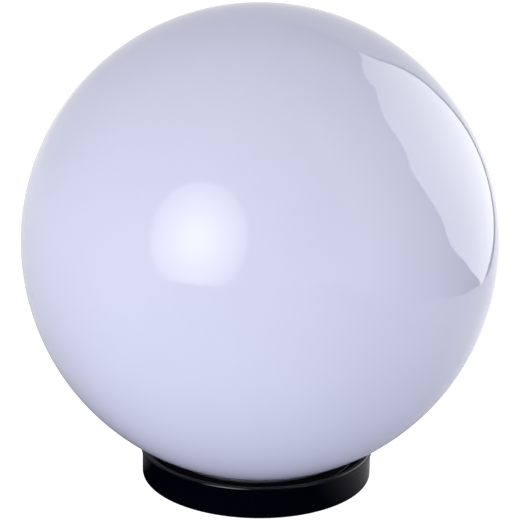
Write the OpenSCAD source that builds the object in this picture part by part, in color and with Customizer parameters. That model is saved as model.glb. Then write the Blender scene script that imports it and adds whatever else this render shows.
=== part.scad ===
// Ball light for a porch, pillar or post: an opal globe that locks by a bayonet into
// a low black base, with a screw-in LED lamp on a porcelain lampholder inside.
// The origin is the centre of the foot, +Z is up and -Y is the front.

/* [Globe] */
// Outer diameter of the opal globe
globe_d = 250; // [220:5:300]
// Wall thickness of the globe
globe_wall = 2; // [1.6:0.1:3]
// Outer diameter of the globe's neck
neck_d = 96; // [92:1:100]
// Wall thickness of the neck
neck_wall = 2.2; // [1.8:0.1:2.8]
// Length of the neck below the ball
neck_h = 10.8; // [10.4:0.2:13]

/* [Base] */
// Outer diameter of the base at its foot
base_d = 124; // [121:1:140]
// Height of the base to the top of its rim
base_h = 17.8; // [14:0.2:18]
// Wall thickness of the collar
base_wall = 2.2; // [1.8:0.1:2.8]
// How far the rolled rim stands out from the collar
rim_lip = 1; // [0.6:0.1:1.6]
// Height of the rolled rim
rim_h = 2.2; // [1.2:0.1:2.4]
// Thickness of the base's floor
floor_t = 2.5; // [2:0.1:3.5]
// Depth of the recess under the floor
foot_h = 1.5; // [1.2:0.1:2.5]
// Number of stiffening ribs round the moat
rib_count = 12; // [6:1:18]
// Thickness of each rib
rib_t = 1.6; // [1.2:0.1:2.4]

/* [Bayonet] */
// How far the neck's lugs stand out
lug_reach = 2.6; // [2:0.1:3]
// Height of each lug
lug_h = 2.6; // [2:0.1:3]
// Angle that each lug takes up
lug_angle = 24; // [18:1:30]
// Turn from the entry gap to the stop
lock_turn = 30; // [28:1:40]
// Thickness of the lips that hold the lugs down
lip_t = 2.5; // [2:0.1:3]
// Wall thickness of the bayonet ring
ring_wall = 2.2; // [1.8:0.1:3]
// Height of the rubber seal against the neck
seal_h = 2.7; // [2.2:0.1:3.2]
// Width of the gasket under the base
gasket_w = 8.8; // [6:0.2:12]

/* [Fixing and cable entry] */
// Spacing of the four fixing holes, both ways
fixing_pitch = 52; // [50:1:54]
// Diameter of each fixing hole
fixing_d = 4.5; // [4:0.1:5]
// Outer diameter of the boss round each fixing hole
fixing_boss_d = 10; // [8.5:0.5:11]
// Height of the fixing bosses above the foot
fixing_boss_h = 6; // [5.2:0.2:8]
// Diameter of the supply cable that the grommet takes
cable_d = 8; // [6:0.5:9]
// Distance of the cable entry from the axis
cable_x = 32; // [31:0.5:34]
// Wall thickness of the grommet's sleeve
grommet_wall = 3.9; // [3:0.1:4.2]

/* [Lampholder] */
// Height of the lampholder
holder_h = 46; // [44:1:52]
// Outer diameter of the lampholder at its mouth
holder_d = 43; // [41:1:46]
// Diameter of the lampholder's foot
holder_foot_d = 40; // [39:1:42]
// Bore of the lampholder's mouth
mouth_d = 30; // [30:0.5:33]
// Height of the chamber's floor above the lampholder's foot
chamber_h = 14; // [13:0.5:16]
// Distance of each fixing ear from the axis
ear_y = 24; // [23.5:0.5:26]
// Diameter of each fixing ear
ear_d = 10; // [9:0.5:11]
// Thickness of each fixing ear
ear_t = 5; // [4:0.5:6]
// Direction of the two wire terminals, each side of the block
terminal_angle = 42; // [38:1:48]

/* [Lamp] */
// Length of the LED lamp
lamp_l = 108; // [100:1:116]
// Diameter of the LED lamp
lamp_d = 60.8; // [56:0.4:66]
// Diameter of the lamp's screw cap at the middle of its thread
thread_d = 25.2; // [25:0.1:25.4]
// Depth of the rounded thread
thread_depth = 1; // [0.8:0.1:1.2]
// Pitch of the thread
thread_pitch = 3.63; // [3.5:0.01:3.7]
// Number of LEDs in the ring
led_count = 12; // [6:1:16]
// Wall thickness of the lamp's bulb
bulb_wall = 1.2; // [0.9:0.1:1.6]
// Wall thickness of the lamp's housing
housing_wall = 1.6; // [1.2:0.1:2]

/* [Terminal block] */
// Length of the terminal block, across its poles
block_l = 20; // [19:0.5:22]
// Width of the terminal block, along its poles
block_w = 14; // [13:0.5:15]
// Height of the terminal block
block_h = 12; // [11:0.5:13]
// Distance between the two poles
pole_pitch = 10; // [9.5:0.5:11]
// Diameter of the insulated lead wires
lead_d = 2.4; // [2:0.1:2.8]

/* [Hidden] */
$fn = 96;

eps = 0.01;
cut = 1;              // how far a cutter runs past what it cuts
seat_gap = 0.3;       // between pieces that rest on each other but can part
fit_gap = 0.1;        // between pieces that are fitted and stay together
slide_gap = 0.6;      // round the lugs as they turn
edge = 0.6;           // chamfer on moulded edges

globe_r = globe_d / 2;
neck_r = neck_d / 2;
base_r = base_d / 2;
lamp_r = lamp_d / 2;
floor_z = foot_h + floor_t;                       // top of the base's floor
neck_end = floor_z + seat_gap;                    // lower end of the neck
neck_bore = neck_r - neck_wall;                   // inside radius of the neck
neck_top = neck_end + neck_h;                     // where the neck meets the ball
globe_z = neck_top + sqrt(pow(globe_r, 2) - pow(neck_r, 2));
bore_low = min(neck_end, globe_z - globe_r) - cut;          // where the cut for the bore starts
ring_top = neck_top - seal_h;
lip_z = ring_top - lip_t;
lug_z = lip_z - fit_gap - seat_gap - lug_h;
lug_r = neck_r + lug_reach;
ring_r = lug_r + slide_gap;                       // inside of the bayonet ring
ring_out = ring_r + ring_wall;
lip_r = neck_r + slide_gap;                       // inner edge of the lips
entry_angle = lug_angle + 6;
stop_angle = 3;
moat_r = base_r - base_wall;                      // inside of the collar

boss_drop = 1;                                    // boss of an ear screw, below the floor
boss_skin = 0.4;                                  // left under the screw's hole in its boss
screw_bite = floor_t + boss_drop - boss_skin - seat_gap;  // how far the screws go into the base
screw_r = 1.9;
screw_gap = 0.05;
head_r = 3.8;
head_t = 2.6;
gasket_r = moat_r - 0.5;                          // outside of the gasket
groove_r = cable_d / 2 + grommet_wall;
grommet_flange = 2;
grommet_flange_t = 1.2;
grommet_top = floor_z + 4;

holder_r = holder_d / 2;
foot_r = holder_foot_d / 2;
mouth_r = mouth_d / 2;
mouth_z = floor_z + holder_h;
chamber_z = floor_z + chamber_h;
terminal_z = floor_z + 6.5;
recess_r = foot_r - 3.5;                          // floor of each terminal recess
recess_w = 11;
recess_h = 11;
strip_t = 0.8;
strip_w = 9;                                      // width of the plate that holds the wire
riser_w = 4;                                      // width of the riser behind it
strip_low = 4;                                    // from the terminal's screw down to the strip's end
terminal_screw_r = 1.5;
terminal_screw_l = 6;

tongue_t = 0.5;
tongue_w = 6;
tongue_root = 9.5;                                // distance of the tongue's bend from the axis
tongue_rise = 4.6;
tongue_z = chamber_z + 1.1;                       // centre of the tongue's bend
lamp_z = tongue_z + tongue_rise + tongue_t / 2 + seat_gap;

thread_r = thread_d / 2;
thread_e = thread_depth / 2;
thread_gap = 0.4;                                 // round the lamp's thread, in the shell
thread_sides = 24;
thread_steps = 8;                                 // rings in each turn of the thread
thread_turns = 4;
tip_h = 1.5;
tip_r = 4.6;
stem_r = 2;
stem_h = 2;
insulator_z = lamp_z + tip_h + fit_gap;
insulator_h = 4.4;
cap_z = lamp_z + 4.6;
thread_z = cap_z + 1.6;
thread_end = thread_z + thread_turns * thread_pitch;
cap_top = mouth_z + 1.4;
cap_bore = thread_r - thread_e - 0.9;
shell_wall = 0.9;
shell_in = thread_r + thread_gap;
shell_out = shell_in + thread_e + shell_wall;
riser_out = shell_out - 0.4;                      // the neutral riser ends under the shell's edge
shell_z = thread_z - 2.4;
shell_top = mouth_z - 3;

tube_r = cap_bore - fit_gap;                      // the housing's spigot inside the cap
housing_z = cap_top + seat_gap;
bulb_drop = 9.4;                                  // from the bulb's centre down to its seam
spigot_h = 1.2;                                   // of the bulb, inside the housing
bulb_z = lamp_z + lamp_l - lamp_r;
seam_z = bulb_z - bulb_drop;
seam_r = sqrt(pow(lamp_r, 2) - pow(bulb_drop, 2));
plate_t = 1.5;
plate_z = seam_z - 3.4;
plate_r = seam_r - housing_wall - 0.8;
plate_hole_x = 6;                                 // the two holes for the board's leads
led_board_t = 1.2;
led_inset = 9;                                    // from the plate's edge to the middle of an LED
led_ring_r = plate_r - led_inset;
led_w = 3.5;
led_depth = 2.8;
led_t = 0.8;
driver_t = 1.2;
driver_w = 18;
driver_z = housing_z + 4;
driver_top = plate_z - fit_gap;
driver_l = driver_top - driver_z;
can_r = 4;                                        // the capacitor's can
can_h = 12;
spool_r = 4;                                      // the coil's spool and winding
spool_h = 9;
spool_t = 1;
winding_r = 3;

block_gap = 1.65;                                 // from the block's outer corners to the neck
block_x = sqrt(pow(neck_bore - block_gap, 2) - pow(block_l / 2, 2)) - block_w;   // its inner face
block_z = floor_z;
block_step = 0.62 * block_h;                      // height of the block's body, below its towers
block_screw_r = 1.5;
block_head_r = 2.2;
tower_w = 0.76 * pole_pitch;
well_r = 2.2;                                     // well over each clamp screw
well_x = [0.27 * block_w, 0.73 * block_w];
pole_z = block_z + 5;
clamp_r = 2.4;
clamp_bore = 1.6;
clamp_screw_r = 1.25;
copper_r = 0.7;
inner_lead_r = 0.5;

// Height of the outside of the globe at radius r, on its lower half, clear by gap.
function under_globe(r, gap) = globe_z - sqrt(pow(globe_r + gap, 2) - pow(r, 2));

// Outer radius of the lamp's housing at share t of its height, from cap to seam.
function flare(t) = thread_r + 1.6 + (seam_r - thread_r - 1.6) * (1 - pow(1 - t, 1.7));

// One ring of points of radius r at height z, pushed out by e where the thread's crest is.
function thread_ring(z, r, e) = [
    for (i = [0 : thread_sides - 1])
        let (a = 360 * i / thread_sides, q = r + e * cos(a - 360 * z / thread_pitch))
            [q * cos(a), q * sin(a), z]
];

// Stations of a thread from height z0. Over half a turn at each end its depth fades to
// its root, which lies at -e from r on a male thread (side -1) and at +e on a female one.
function thread_stations(z0, turns, r, e, side) = [
    for (k = [0 : turns * thread_steps])
        let (ends = thread_steps / 2, fade = min(1, k / ends, (turns * thread_steps - k) / ends))
            [z0 + k * thread_pitch / thread_steps, r + side * e * (1 - fade), e * fade]
];

// A hollow turned piece from outer and inner stations of [height, radius, thread depth].
module threaded_tube(outer, inner) {
    n = thread_sides;
    no = len(outer);
    ni = len(inner);
    points = [
        for (s = outer) each thread_ring(s[0], s[1], s[2]),
        for (s = inner) each thread_ring(s[0], s[1], s[2])
    ];
    function at(ring, i) = ring * n + i % n;
    faces = [
        for (k = [0 : no - 2], i = [0 : n - 1])
            each [[at(k, i), at(k + 1, i), at(k + 1, i + 1)], [at(k, i), at(k + 1, i + 1), at(k, i + 1)]],
        for (k = [no : no + ni - 2], i = [0 : n - 1])
            each [[at(k, i), at(k + 1, i + 1), at(k + 1, i)], [at(k, i), at(k, i + 1), at(k + 1, i + 1)]],
        for (i = [0 : n - 1])
            each [[at(0, i), at(0, i + 1), at(no, i + 1)], [at(0, i), at(no, i + 1), at(no, i)]],
        for (i = [0 : n - 1])
            each [
                [at(no - 1, i), at(no + ni - 1, i + 1), at(no - 1, i + 1)],
                [at(no - 1, i), at(no + ni - 1, i), at(no + ni - 1, i + 1)]
            ]
    ];
    polyhedron(points, faces);
}

// A bent round wire of radius r through points, with flat ends square to its run.
module wire(path, r, sides = 10) {
    last = len(path) - 1;
    function unit(v) = v / norm(v);
    function along(i) = unit(path[min(i + 1, last)] - path[max(i - 1, 0)]);
    function ring(i) =
        let (t = along(i), u = unit(cross(t, [0, 0, 1])), v = cross(u, t))
            [for (s = [0 : sides - 1]) path[i] + r * (cos(360 * s / sides) * u + sin(360 * s / sides) * v)];
    points = [for (i = [0 : last]) each ring(i)];
    faces = [
        [for (s = [sides - 1 : -1 : 0]) s],
        for (i = [0 : last - 1], s = [0 : sides - 1])
            each [
                [i * sides + s, (i + 1) * sides + (s + 1) % sides, (i + 1) * sides + s],
                [i * sides + s, i * sides + (s + 1) % sides, (i + 1) * sides + (s + 1) % sides]
            ],
        [for (s = [0 : sides - 1]) last * sides + s]
    ];
    polyhedron(points, faces);
}

// A flat ring between two radii and two heights.
module ring(r_in, r_out, z0, z1) {
    translate([0, 0, z0])
        linear_extrude(z1 - z0)
            difference() {
                circle(r_out);
                circle(r_in);
            }
}

// A stretch of ring from angle a0 over a degrees.
module arc_ring(r_in, r_out, z0, z1, a0, a) {
    rotate(a0)
        rotate_extrude(angle = a)
            translate([r_in, z0])
                square([r_out - r_in, z1 - z0]);
}

module at_fixings() {
    for (x = [-1, 1], y = [-1, 1])
        translate([x * fixing_pitch / 2, y * fixing_pitch / 2])
            children();
}

module at_ears() {
    for (y = [-1, 1])
        translate([0, y * ear_y])
            children();
}

module at_poles() {
    for (y = [-1, 1])
        translate([0, y * pole_pitch / 2])
            children();
}

// Places a child at each wire terminal, with +X pointing out of its recess.
module at_terminals() {
    for (side = [-1, 1])
        rotate(side * terminal_angle)
            children();
}

// Turns the contact strip, whose foot lies at -X, over the live terminal's riser.
module at_contact() {
    rotate(180 - terminal_angle)
        children();
}

// A pan-head screw with a cross recess, its head's underside at the origin, pointing down.
module pan_screw(r, length, head, head_h) {
    difference() {
        union() {
            translate([0, 0, -length])
                cylinder(r = r, h = length + eps);
            rotate_extrude()
                intersection() {
                    square([head, head_h]);
                    translate([0, head_h - 2.2 * head])
                        circle(2.2 * head);
                }
        }
        for (a = [0, 90])
            rotate(a)
                translate([-head * 0.55, -head * 0.1, head_h * 0.45])
                    cube([head * 1.1, head * 0.2, head_h]);
    }
}

// A slotted cheese-head screw, its head's underside at the origin, pointing down.
module slot_screw(r, length, head, head_h) {
    difference() {
        union() {
            translate([0, 0, -length])
                cylinder(r = r, h = length + eps);
            cylinder(r = head, h = head_h);
        }
        translate([-head - cut, -head * 0.12, head_h * 0.5])
            cube([2 * (head + cut), head * 0.24, head_h]);
    }
}

module globe() {
    color("ghostwhite")
        difference() {
            union() {
                translate([0, 0, globe_z])
                    sphere(globe_r);
                translate([0, 0, neck_end])
                    cylinder(r = neck_r, h = neck_h + 4);
                for (i = [0 : 2])
                    arc_ring(neck_r - neck_wall / 2, lug_r, lug_z, lug_z + lug_h,
                        i * 120 - lug_angle / 2, lug_angle);
            }
            translate([0, 0, globe_z])
                sphere(globe_r - globe_wall);
            translate([0, 0, bore_low])
                cylinder(r = neck_bore, h = globe_z - bore_low);
        }
}

// The rubber ring round the neck, squeezed between the bayonet ring and the ball.
module neck_seal() {
    seal_in = neck_r + seat_gap;
    seal_out = ring_out - fit_gap;
    steps = 4;
    color("#18181b")
        rotate_extrude()
            polygon([
                [seal_in, ring_top + fit_gap],
                [seal_out, ring_top + fit_gap],
                for (i = [steps : -1 : 0])
                    let (r = seal_in + (seal_out - seal_in) * i / steps)
                        [r, under_globe(r, seat_gap)]
            ]);
}

module base_collar() {
    rim_r = rim_h / 2;
    rotate_extrude() {
        polygon([
            [moat_r, 0],
            [base_r - edge, 0],
            [base_r, edge],
            [base_r, base_h - rim_h - rim_lip],
            [base_r + rim_lip - rim_r / 2, base_h - rim_h + rim_r * 0.15],
            [base_r + rim_lip - rim_r, base_h],
            [moat_r, base_h - rim_h * 0.35]
        ]);
        translate([base_r + rim_lip - rim_r, base_h - rim_r])
            circle(rim_r);
    }
}

// The ring that the globe's neck turns in, with its lips, entry gaps and stops.
module bayonet_ring() {
    lips = 120 - entry_angle;
    ring(ring_r, ring_out, floor_z - eps, ring_top);
    for (i = [0 : 2]) {
        arc_ring(lip_r, ring_r + eps, lip_z, ring_top, i * 120 + entry_angle / 2, lips);
        arc_ring(lip_r + slide_gap, ring_r + eps, floor_z - eps, lip_z + eps,
            i * 120 + entry_angle / 2, stop_angle);
        arc_ring(lip_r + slide_gap, ring_r + eps, floor_z - eps, lip_z + eps,
            i * 120 - lock_turn - lug_angle / 2 - stop_angle - 1, stop_angle);
    }
}

module base_shell() {
    color("#111114")
        difference() {
            union() {
                base_collar();
                translate([0, 0, foot_h])
                    cylinder(r = moat_r + eps, h = floor_t);
                bayonet_ring();
                for (i = [0 : rib_count - 1])
                    rotate((i + 0.5) * 360 / rib_count)
                        translate([ring_out - eps, -rib_t / 2, floor_z - eps])
                            cube([moat_r - ring_out + 2 * eps, rib_t, lip_z - floor_z]);
                at_fixings()
                    cylinder(d = fixing_boss_d, h = fixing_boss_h);
                at_ears()
                    translate([0, 0, foot_h - boss_drop])
                        cylinder(d = ear_d - 1, h = boss_drop + eps);
                translate([block_x + block_w / 2, 0, foot_h - boss_drop])
                    cylinder(d = ear_d - 2, h = boss_drop + eps);
            }
            at_fixings()
                translate([0, 0, -cut])
                    cylinder(d = fixing_d, h = fixing_boss_h + 2 * cut);
            at_ears()
                translate([0, 0, foot_h - boss_drop + boss_skin])
                    cylinder(r = screw_r + screw_gap, h = floor_t + boss_drop + cut);
            translate([block_x + block_w / 2, 0, foot_h - boss_drop + boss_skin])
                cylinder(r = block_screw_r + screw_gap, h = floor_t + boss_drop + cut);
            translate([-cable_x, 0, foot_h - cut])
                cylinder(r = groove_r + fit_gap, h = floor_t + 2 * cut);
        }
}

module base_gasket() {
    color("#2a2a2c")
        ring(gasket_r - gasket_w, gasket_r, 0, foot_h);
}

module cable_grommet() {
    flange_r = groove_r + grommet_flange;
    low = foot_h - grommet_flange_t;
    color("#202022")
        translate([-cable_x, 0])
            rotate_extrude()
                polygon([
                    [cable_d / 2, low],
                    [flange_r, low],
                    [flange_r, foot_h],
                    [groove_r, foot_h],
                    [groove_r, floor_z],
                    [flange_r, floor_z],
                    [flange_r - 0.4, floor_z + grommet_flange_t],
                    [cable_d / 2 + 1.6, floor_z + grommet_flange_t + 0.4],
                    [cable_d / 2 + 1.1, grommet_top],
                    [cable_d / 2, grommet_top]
                ]);
}

// A slot for a flat strip of length l and height h, clear of it all round.
module strip_slot(l, h) {
    translate([-fit_gap, -riser_w / 2 - fit_gap, -fit_gap])
        cube([l + 2 * fit_gap, riser_w + 2 * fit_gap, h + 2 * fit_gap]);
}

module lampholder_body() {
    color("white")
        difference() {
            union() {
                rotate_extrude()
                    polygon([
                        [0, floor_z],
                        [foot_r, floor_z],
                        [foot_r, chamber_z],
                        [holder_r - 0.8, chamber_z + 2.5],
                        [holder_r - 0.8, mouth_z - 5],
                        [holder_r, mouth_z - 4.2],
                        [holder_r, mouth_z - 1],
                        [holder_r - 1, mouth_z],
                        [0, mouth_z]
                    ]);
                at_ears()
                    translate([0, 0, floor_z])
                        cylinder(d = ear_d, h = ear_t);
                translate([-ear_d / 2, -ear_y, floor_z])
                    cube([ear_d, 2 * ear_y, ear_t]);
            }
            translate([0, 0, chamber_z])
                cylinder(r = mouth_r, h = holder_h);
            at_ears()
                translate([0, 0, floor_z - cut])
                    cylinder(r = screw_r + seat_gap, h = ear_t + 2 * cut);
            at_terminals() {
                translate([recess_r, -recess_w / 2, floor_z + 1])
                    cube([holder_r, recess_w, recess_h]);
                translate([riser_out - strip_t, 0, terminal_z - strip_low])
                    strip_slot(strip_t, chamber_h);
                translate([riser_out - strip_t, 0, terminal_z - strip_low])
                    strip_slot(recess_r - riser_out + 2 * strip_t, strip_t);
                translate([recess_r - terminal_screw_l, 0, terminal_z])
                    rotate([0, 90, 0])
                        cylinder(r = terminal_screw_r + fit_gap, h = terminal_screw_l + cut);
            }
        }
}

module lampholder_shell() {
    turns = floor((shell_top - shell_z) / thread_pitch);
    stations = thread_stations(shell_z, turns, shell_in, thread_e, 1);
    color("goldenrod")
        threaded_tube(
            [[shell_z, shell_out, 0], [shell_top, shell_out, 0]],
            [each stations, [shell_top, shell_in + thread_e, 0]]
        );
}

// One bent strip: the plate that the wire is clamped to, and the riser behind it up to top.
module terminal_strip(top) {
    low = terminal_z - strip_low;
    translate([recess_r, -strip_w / 2, low])
        cube([strip_t, strip_w, 2 * strip_low]);
    translate([riser_out - strip_t, -riser_w / 2, low])
        cube([recess_r - riser_out + 1.5 * strip_t, riser_w, strip_t]);
    translate([riser_out - strip_t, -riser_w / 2, low])
        cube([strip_t, riser_w, top - low]);
}

module lampholder_terminals() {
    color("goldenrod")
        difference() {
            union() {
                rotate(terminal_angle)
                    terminal_strip(shell_z);
                rotate(-terminal_angle)
                    terminal_strip(chamber_z);
            }
            at_terminals()
                translate([recess_r - terminal_screw_l, 0, terminal_z])
                    rotate([0, 90, 0])
                        cylinder(r = terminal_screw_r + screw_gap, h = terminal_screw_l + cut);
        }
}

module lampholder_terminal_screws() {
    color("silver")
        at_terminals()
            translate([recess_r + strip_t + 2 * copper_r, 0, terminal_z])
                rotate([0, 90, 0])
                    rotate(35)
                        slot_screw(terminal_screw_r, terminal_screw_l, 3.2, 1.8);
}

module lampholder_fixing_screws() {
    color("silver")
        at_ears()
            translate([0, 0, floor_z + ear_t])
                pan_screw(screw_r, ear_t + screw_bite, head_r, head_t);
}

// The riveted end of the bronze contact strip, flat on the chamber's floor and the live riser.
module contact_foot() {
    foot_x = riser_out - 0.1;
    color("peru")
        at_contact() {
            translate([-foot_x, -tongue_w / 2, chamber_z])
                cube([foot_x - tongue_root + 1, tongue_w, tongue_t]);
            translate([-(foot_x + tongue_root + 0.4) / 2, 0, chamber_z + tongue_t - eps])
                cylinder(r = 1.3, h = 0.5);
        }
}

// The sprung end of the contact strip: it slopes up from its bend to a rounded nose.
module contact_tongue() {
    nose = 2.4;
    color("peru")
        at_contact()
            rotate([90, 0, 0])
                translate([0, 0, -tongue_w / 2])
                    linear_extrude(tongue_w) {
                        translate([-tongue_root, tongue_z])
                            circle(tongue_t / 2);
                        polygon([
                            [-tongue_root, tongue_z - tongue_t / 2],
                            [-nose, tongue_z + tongue_rise - tongue_t / 2],
                            [nose, tongue_z + tongue_rise - tongue_t / 2],
                            [nose + 1.8, tongue_z + tongue_rise - 2.4],
                            [nose + 2.2, tongue_z + tongue_rise - 2.1],
                            [nose + 0.2, tongue_z + tongue_rise + tongue_t / 2],
                            [-nose - 0.2, tongue_z + tongue_rise + tongue_t / 2],
                            [-tongue_root, tongue_z + tongue_t / 2]
                        ]);
                    }
}

module terminal_block() {
    color("lightgray")
        translate([block_x, 0, block_z])
            difference() {
                union() {
                    translate([0, -block_l / 2, 0])
                        cube([block_w, block_l, block_step]);
                    at_poles()
                        translate([1, -tower_w / 2, 0])
                            cube([block_w - 2, tower_w, block_h]);
                }
                at_poles()
                    translate([-cut, 0, pole_z - block_z])
                        rotate([0, 90, 0])
                            cylinder(r = clamp_r + fit_gap, h = block_w + 2 * cut);
                for (x = well_x)
                    at_poles()
                        translate([x, 0, pole_z - block_z])
                            cylinder(r = well_r, h = block_h);
                translate([block_w / 2, 0, -cut])
                    cylinder(r = block_screw_r + fit_gap, h = block_h + 2 * cut);
                translate([block_w / 2, 0, block_step])
                    cylinder(r = block_head_r + fit_gap, h = block_h);
            }
}

module terminal_block_clamps() {
    color("goldenrod")
        at_poles()
            difference() {
                translate([block_x + 0.5, 0, pole_z])
                    rotate([0, 90, 0])
                        cylinder(r = clamp_r, h = block_w - 1);
                translate([block_x, 0, pole_z])
                    rotate([0, 90, 0])
                        cylinder(r = clamp_bore, h = block_w + cut);
                for (x = well_x)
                    translate([block_x + x, 0, pole_z])
                        cylinder(r = clamp_screw_r + screw_gap, h = block_h);
            }
}

module terminal_block_screws() {
    color("silver")
        for (x = well_x)
            at_poles()
                translate([block_x + x, 0, pole_z + clamp_r + 0.6])
                    slot_screw(clamp_screw_r, clamp_r - 0.2, well_r - seat_gap, 1.6);
}

module terminal_block_fixing_screw() {
    color("silver")
        translate([block_x + block_w / 2, 0, block_z + block_step])
            pan_screw(block_screw_r, block_step + screw_bite, block_head_r, 1.6);
}

// A lead from a pole of the terminal block, in a low loop, to the terminal on that side.
module lead(side) {
    side_on = 4.6;                                                  // where the insulation ends
    loop = 5;                                                       // how far the loop's handles reach
    out = [cos(terminal_angle), side * sin(terminal_angle), 0];
    across = [-sin(terminal_angle), side * cos(terminal_angle), 0];
    wire_z = terminal_z + terminal_screw_r + copper_r + fit_gap;     // over the screw's shank
    held = recess_r + strip_t + copper_r;                           // under the screw's head
    function in_terminal(x, y, z) = x * out + y * across + [0, 0, z];
    start = [block_x, side * pole_pitch / 2, pole_z];
    end = in_terminal(foot_r + 0.5, -side_on, wire_z);
    from = start - [loop, 0, 0];
    to = in_terminal(foot_r + loop, -side_on - lead_d, wire_z + 2);
    steps = 12;
    route = [
        for (i = [0 : steps])
            let (t = i / steps)
                pow(1 - t, 3) * start + 3 * t * pow(1 - t, 2) * from + 3 * t * t * (1 - t) * to + pow(t, 3) * end
    ];
    bare = [
        end,
        in_terminal(held + 0.5, 1.2 - side_on, wire_z),
        in_terminal(held, 2.2 - side_on, wire_z),
        in_terminal(held, side_on - 2.2, wire_z)
    ];
    wire(route, lead_d / 2);
    wire(bare, copper_r, 8);
    wire([start, start + [block_w * 0.8, 0, 0]], copper_r, 8);
}

module live_lead() {
    color("saddlebrown")
        lead(-1);
}

module neutral_lead() {
    color("royalblue")
        lead(1);
}

module lamp_tip() {
    color("silver")
        rotate_extrude() {
            intersection() {
                translate([0, lamp_z])
                    square([tip_r, tip_h]);
                translate([0, lamp_z + 9])
                    circle(9);
            }
            translate([0, lamp_z + tip_h - eps])
                square([stem_r, stem_h]);
        }
}

module lamp_cap() {
    crest = thread_stations(thread_z, thread_turns, thread_r, thread_e, -1);
    color("silver")
        threaded_tube(
            [
                [cap_z, thread_r - 2.6, 0],
                [cap_z + 0.5, thread_r - 1.2, 0],
                [cap_z + 1.1, thread_r - 0.4, 0],
                each crest,
                [thread_end + 1, thread_r + 0.2, 0],
                [cap_top, thread_r + 0.2, 0]
            ],
            [[cap_z, thread_r - 3.1, 0], [thread_z + 0.2, cap_bore, 0], [cap_top, cap_bore, 0]]
        );
}

module lamp_insulator() {
    hole = stem_r + seat_gap;
    top_r = thread_r - 3.3;
    color("#18181c")
        rotate_extrude()
            polygon([
                [hole, insulator_z],
                [tip_r + 1.6, insulator_z],
                [top_r, cap_z - 0.2],
                [top_r, insulator_z + insulator_h],
                [hole, insulator_z + insulator_h]
            ]);
}

// Profile of the housing at share t of its height, moved in by wall.
function housing_point(t, wall) = [flare(t) - wall, housing_z + t * (seam_z - housing_z)];

module lamp_housing() {
    n = 10;
    color("whitesmoke")
        rotate_extrude()
            polygon([
                [tube_r, thread_z + 1],
                [tube_r, housing_z],
                for (i = [0 : n]) housing_point(i / n, 0),
                for (i = [n : -1 : 1]) housing_point(i / n, housing_wall),
                [tube_r - housing_wall, housing_z + 2],
                [tube_r - housing_wall, thread_z + 1]
            ]);
}

// The aluminium plate under the LED board, with a turned-down skirt inside the housing.
module lamp_heat_sink() {
    skirt_h = 12;
    t = (plate_z - skirt_h - housing_z) / (seam_z - housing_z);
    skirt_r = flare(t) - housing_wall - seat_gap;
    color("lightsteelblue") {
        difference() {
            translate([0, 0, plate_z])
                cylinder(r = plate_r, h = plate_t);
            for (x = [-plate_hole_x, plate_hole_x])
                translate([x, 0, plate_z - cut])
                    cylinder(r = 1.5, h = plate_t + 2 * cut);
        }
        ring(skirt_r - 1, skirt_r, plate_z - skirt_h, plate_z + eps);
    }
}

module lamp_led_board() {
    color("white")
        difference() {
            translate([0, 0, plate_z + plate_t])
                cylinder(r = plate_r - 2.5, h = led_board_t);
            for (x = [-plate_hole_x, plate_hole_x])
                translate([x, 0, plate_z])
                    cylinder(r = 1.2, h = 2 * plate_t + led_board_t);
        }
}

module lamp_leds() {
    color("khaki")
        for (i = [0 : led_count - 1])
            rotate(i * 360 / led_count)
                translate([led_ring_r - led_depth / 2, -led_w / 2, plate_z + plate_t + led_board_t])
                    cube([led_depth, led_w, led_t]);
}

module lamp_driver_board() {
    color("seagreen")
        translate([-driver_w / 2, -driver_t / 2, driver_z])
            cube([driver_w, driver_t, driver_l]);
}

module lamp_capacitor() {
    color("midnightblue")
        translate([3, driver_t / 2 + can_r, driver_z + 0.42 * driver_l])
            cylinder(r = can_r, h = can_h);
}

module lamp_coil() {
    color("darkorange")
        translate([-1, -driver_t / 2 - spool_r, driver_z + 0.3 * driver_l]) {
            cylinder(r = spool_r, h = spool_t);
            cylinder(r = winding_r, h = spool_h);
            translate([0, 0, spool_h - spool_t])
                cylinder(r = spool_r, h = spool_t);
        }
}

module lamp_chips() {
    color("#202020") {
        translate([-6, driver_t / 2, driver_z + 0.12 * driver_l])
            cube([5, 1.5, 4]);
        translate([-7, driver_t / 2, driver_z + 0.48 * driver_l])
            cube([4, 1.8, 5]);
        translate([2, -driver_t / 2 - 1.6, driver_z + 0.66 * driver_l])
            cube([5, 1.6, 4]);
    }
}

module lamp_inner_leads() {
    color("firebrick") {
        translate([0, 0, lamp_z + tip_h + stem_h + seat_gap])
            cylinder(r = inner_lead_r, h = driver_z - lamp_z - tip_h - stem_h - seat_gap);
        translate([tube_r - housing_wall - seat_gap - inner_lead_r, 0, thread_z + 1])
            cylinder(r = inner_lead_r, h = driver_z - thread_z - 1);
    }
}

module lamp_bulb() {
    spigot = seam_r - housing_wall - seat_gap;
    color("white")
        difference() {
            union() {
                intersection() {
                    translate([0, 0, bulb_z])
                        sphere(lamp_r);
                    translate([0, 0, seam_z + fit_gap])
                        cylinder(r = 2 * lamp_r, h = 2 * lamp_d);
                }
                ring(spigot - bulb_wall, spigot, seam_z - spigot_h, seam_z + fit_gap + eps);
            }
            translate([0, 0, bulb_z])
                sphere(lamp_r - bulb_wall);
            translate([0, 0, seam_z - 2 * cut])
                cylinder(r = spigot - bulb_wall, h = 2 * cut + bulb_drop / 2);
        }
}

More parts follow.
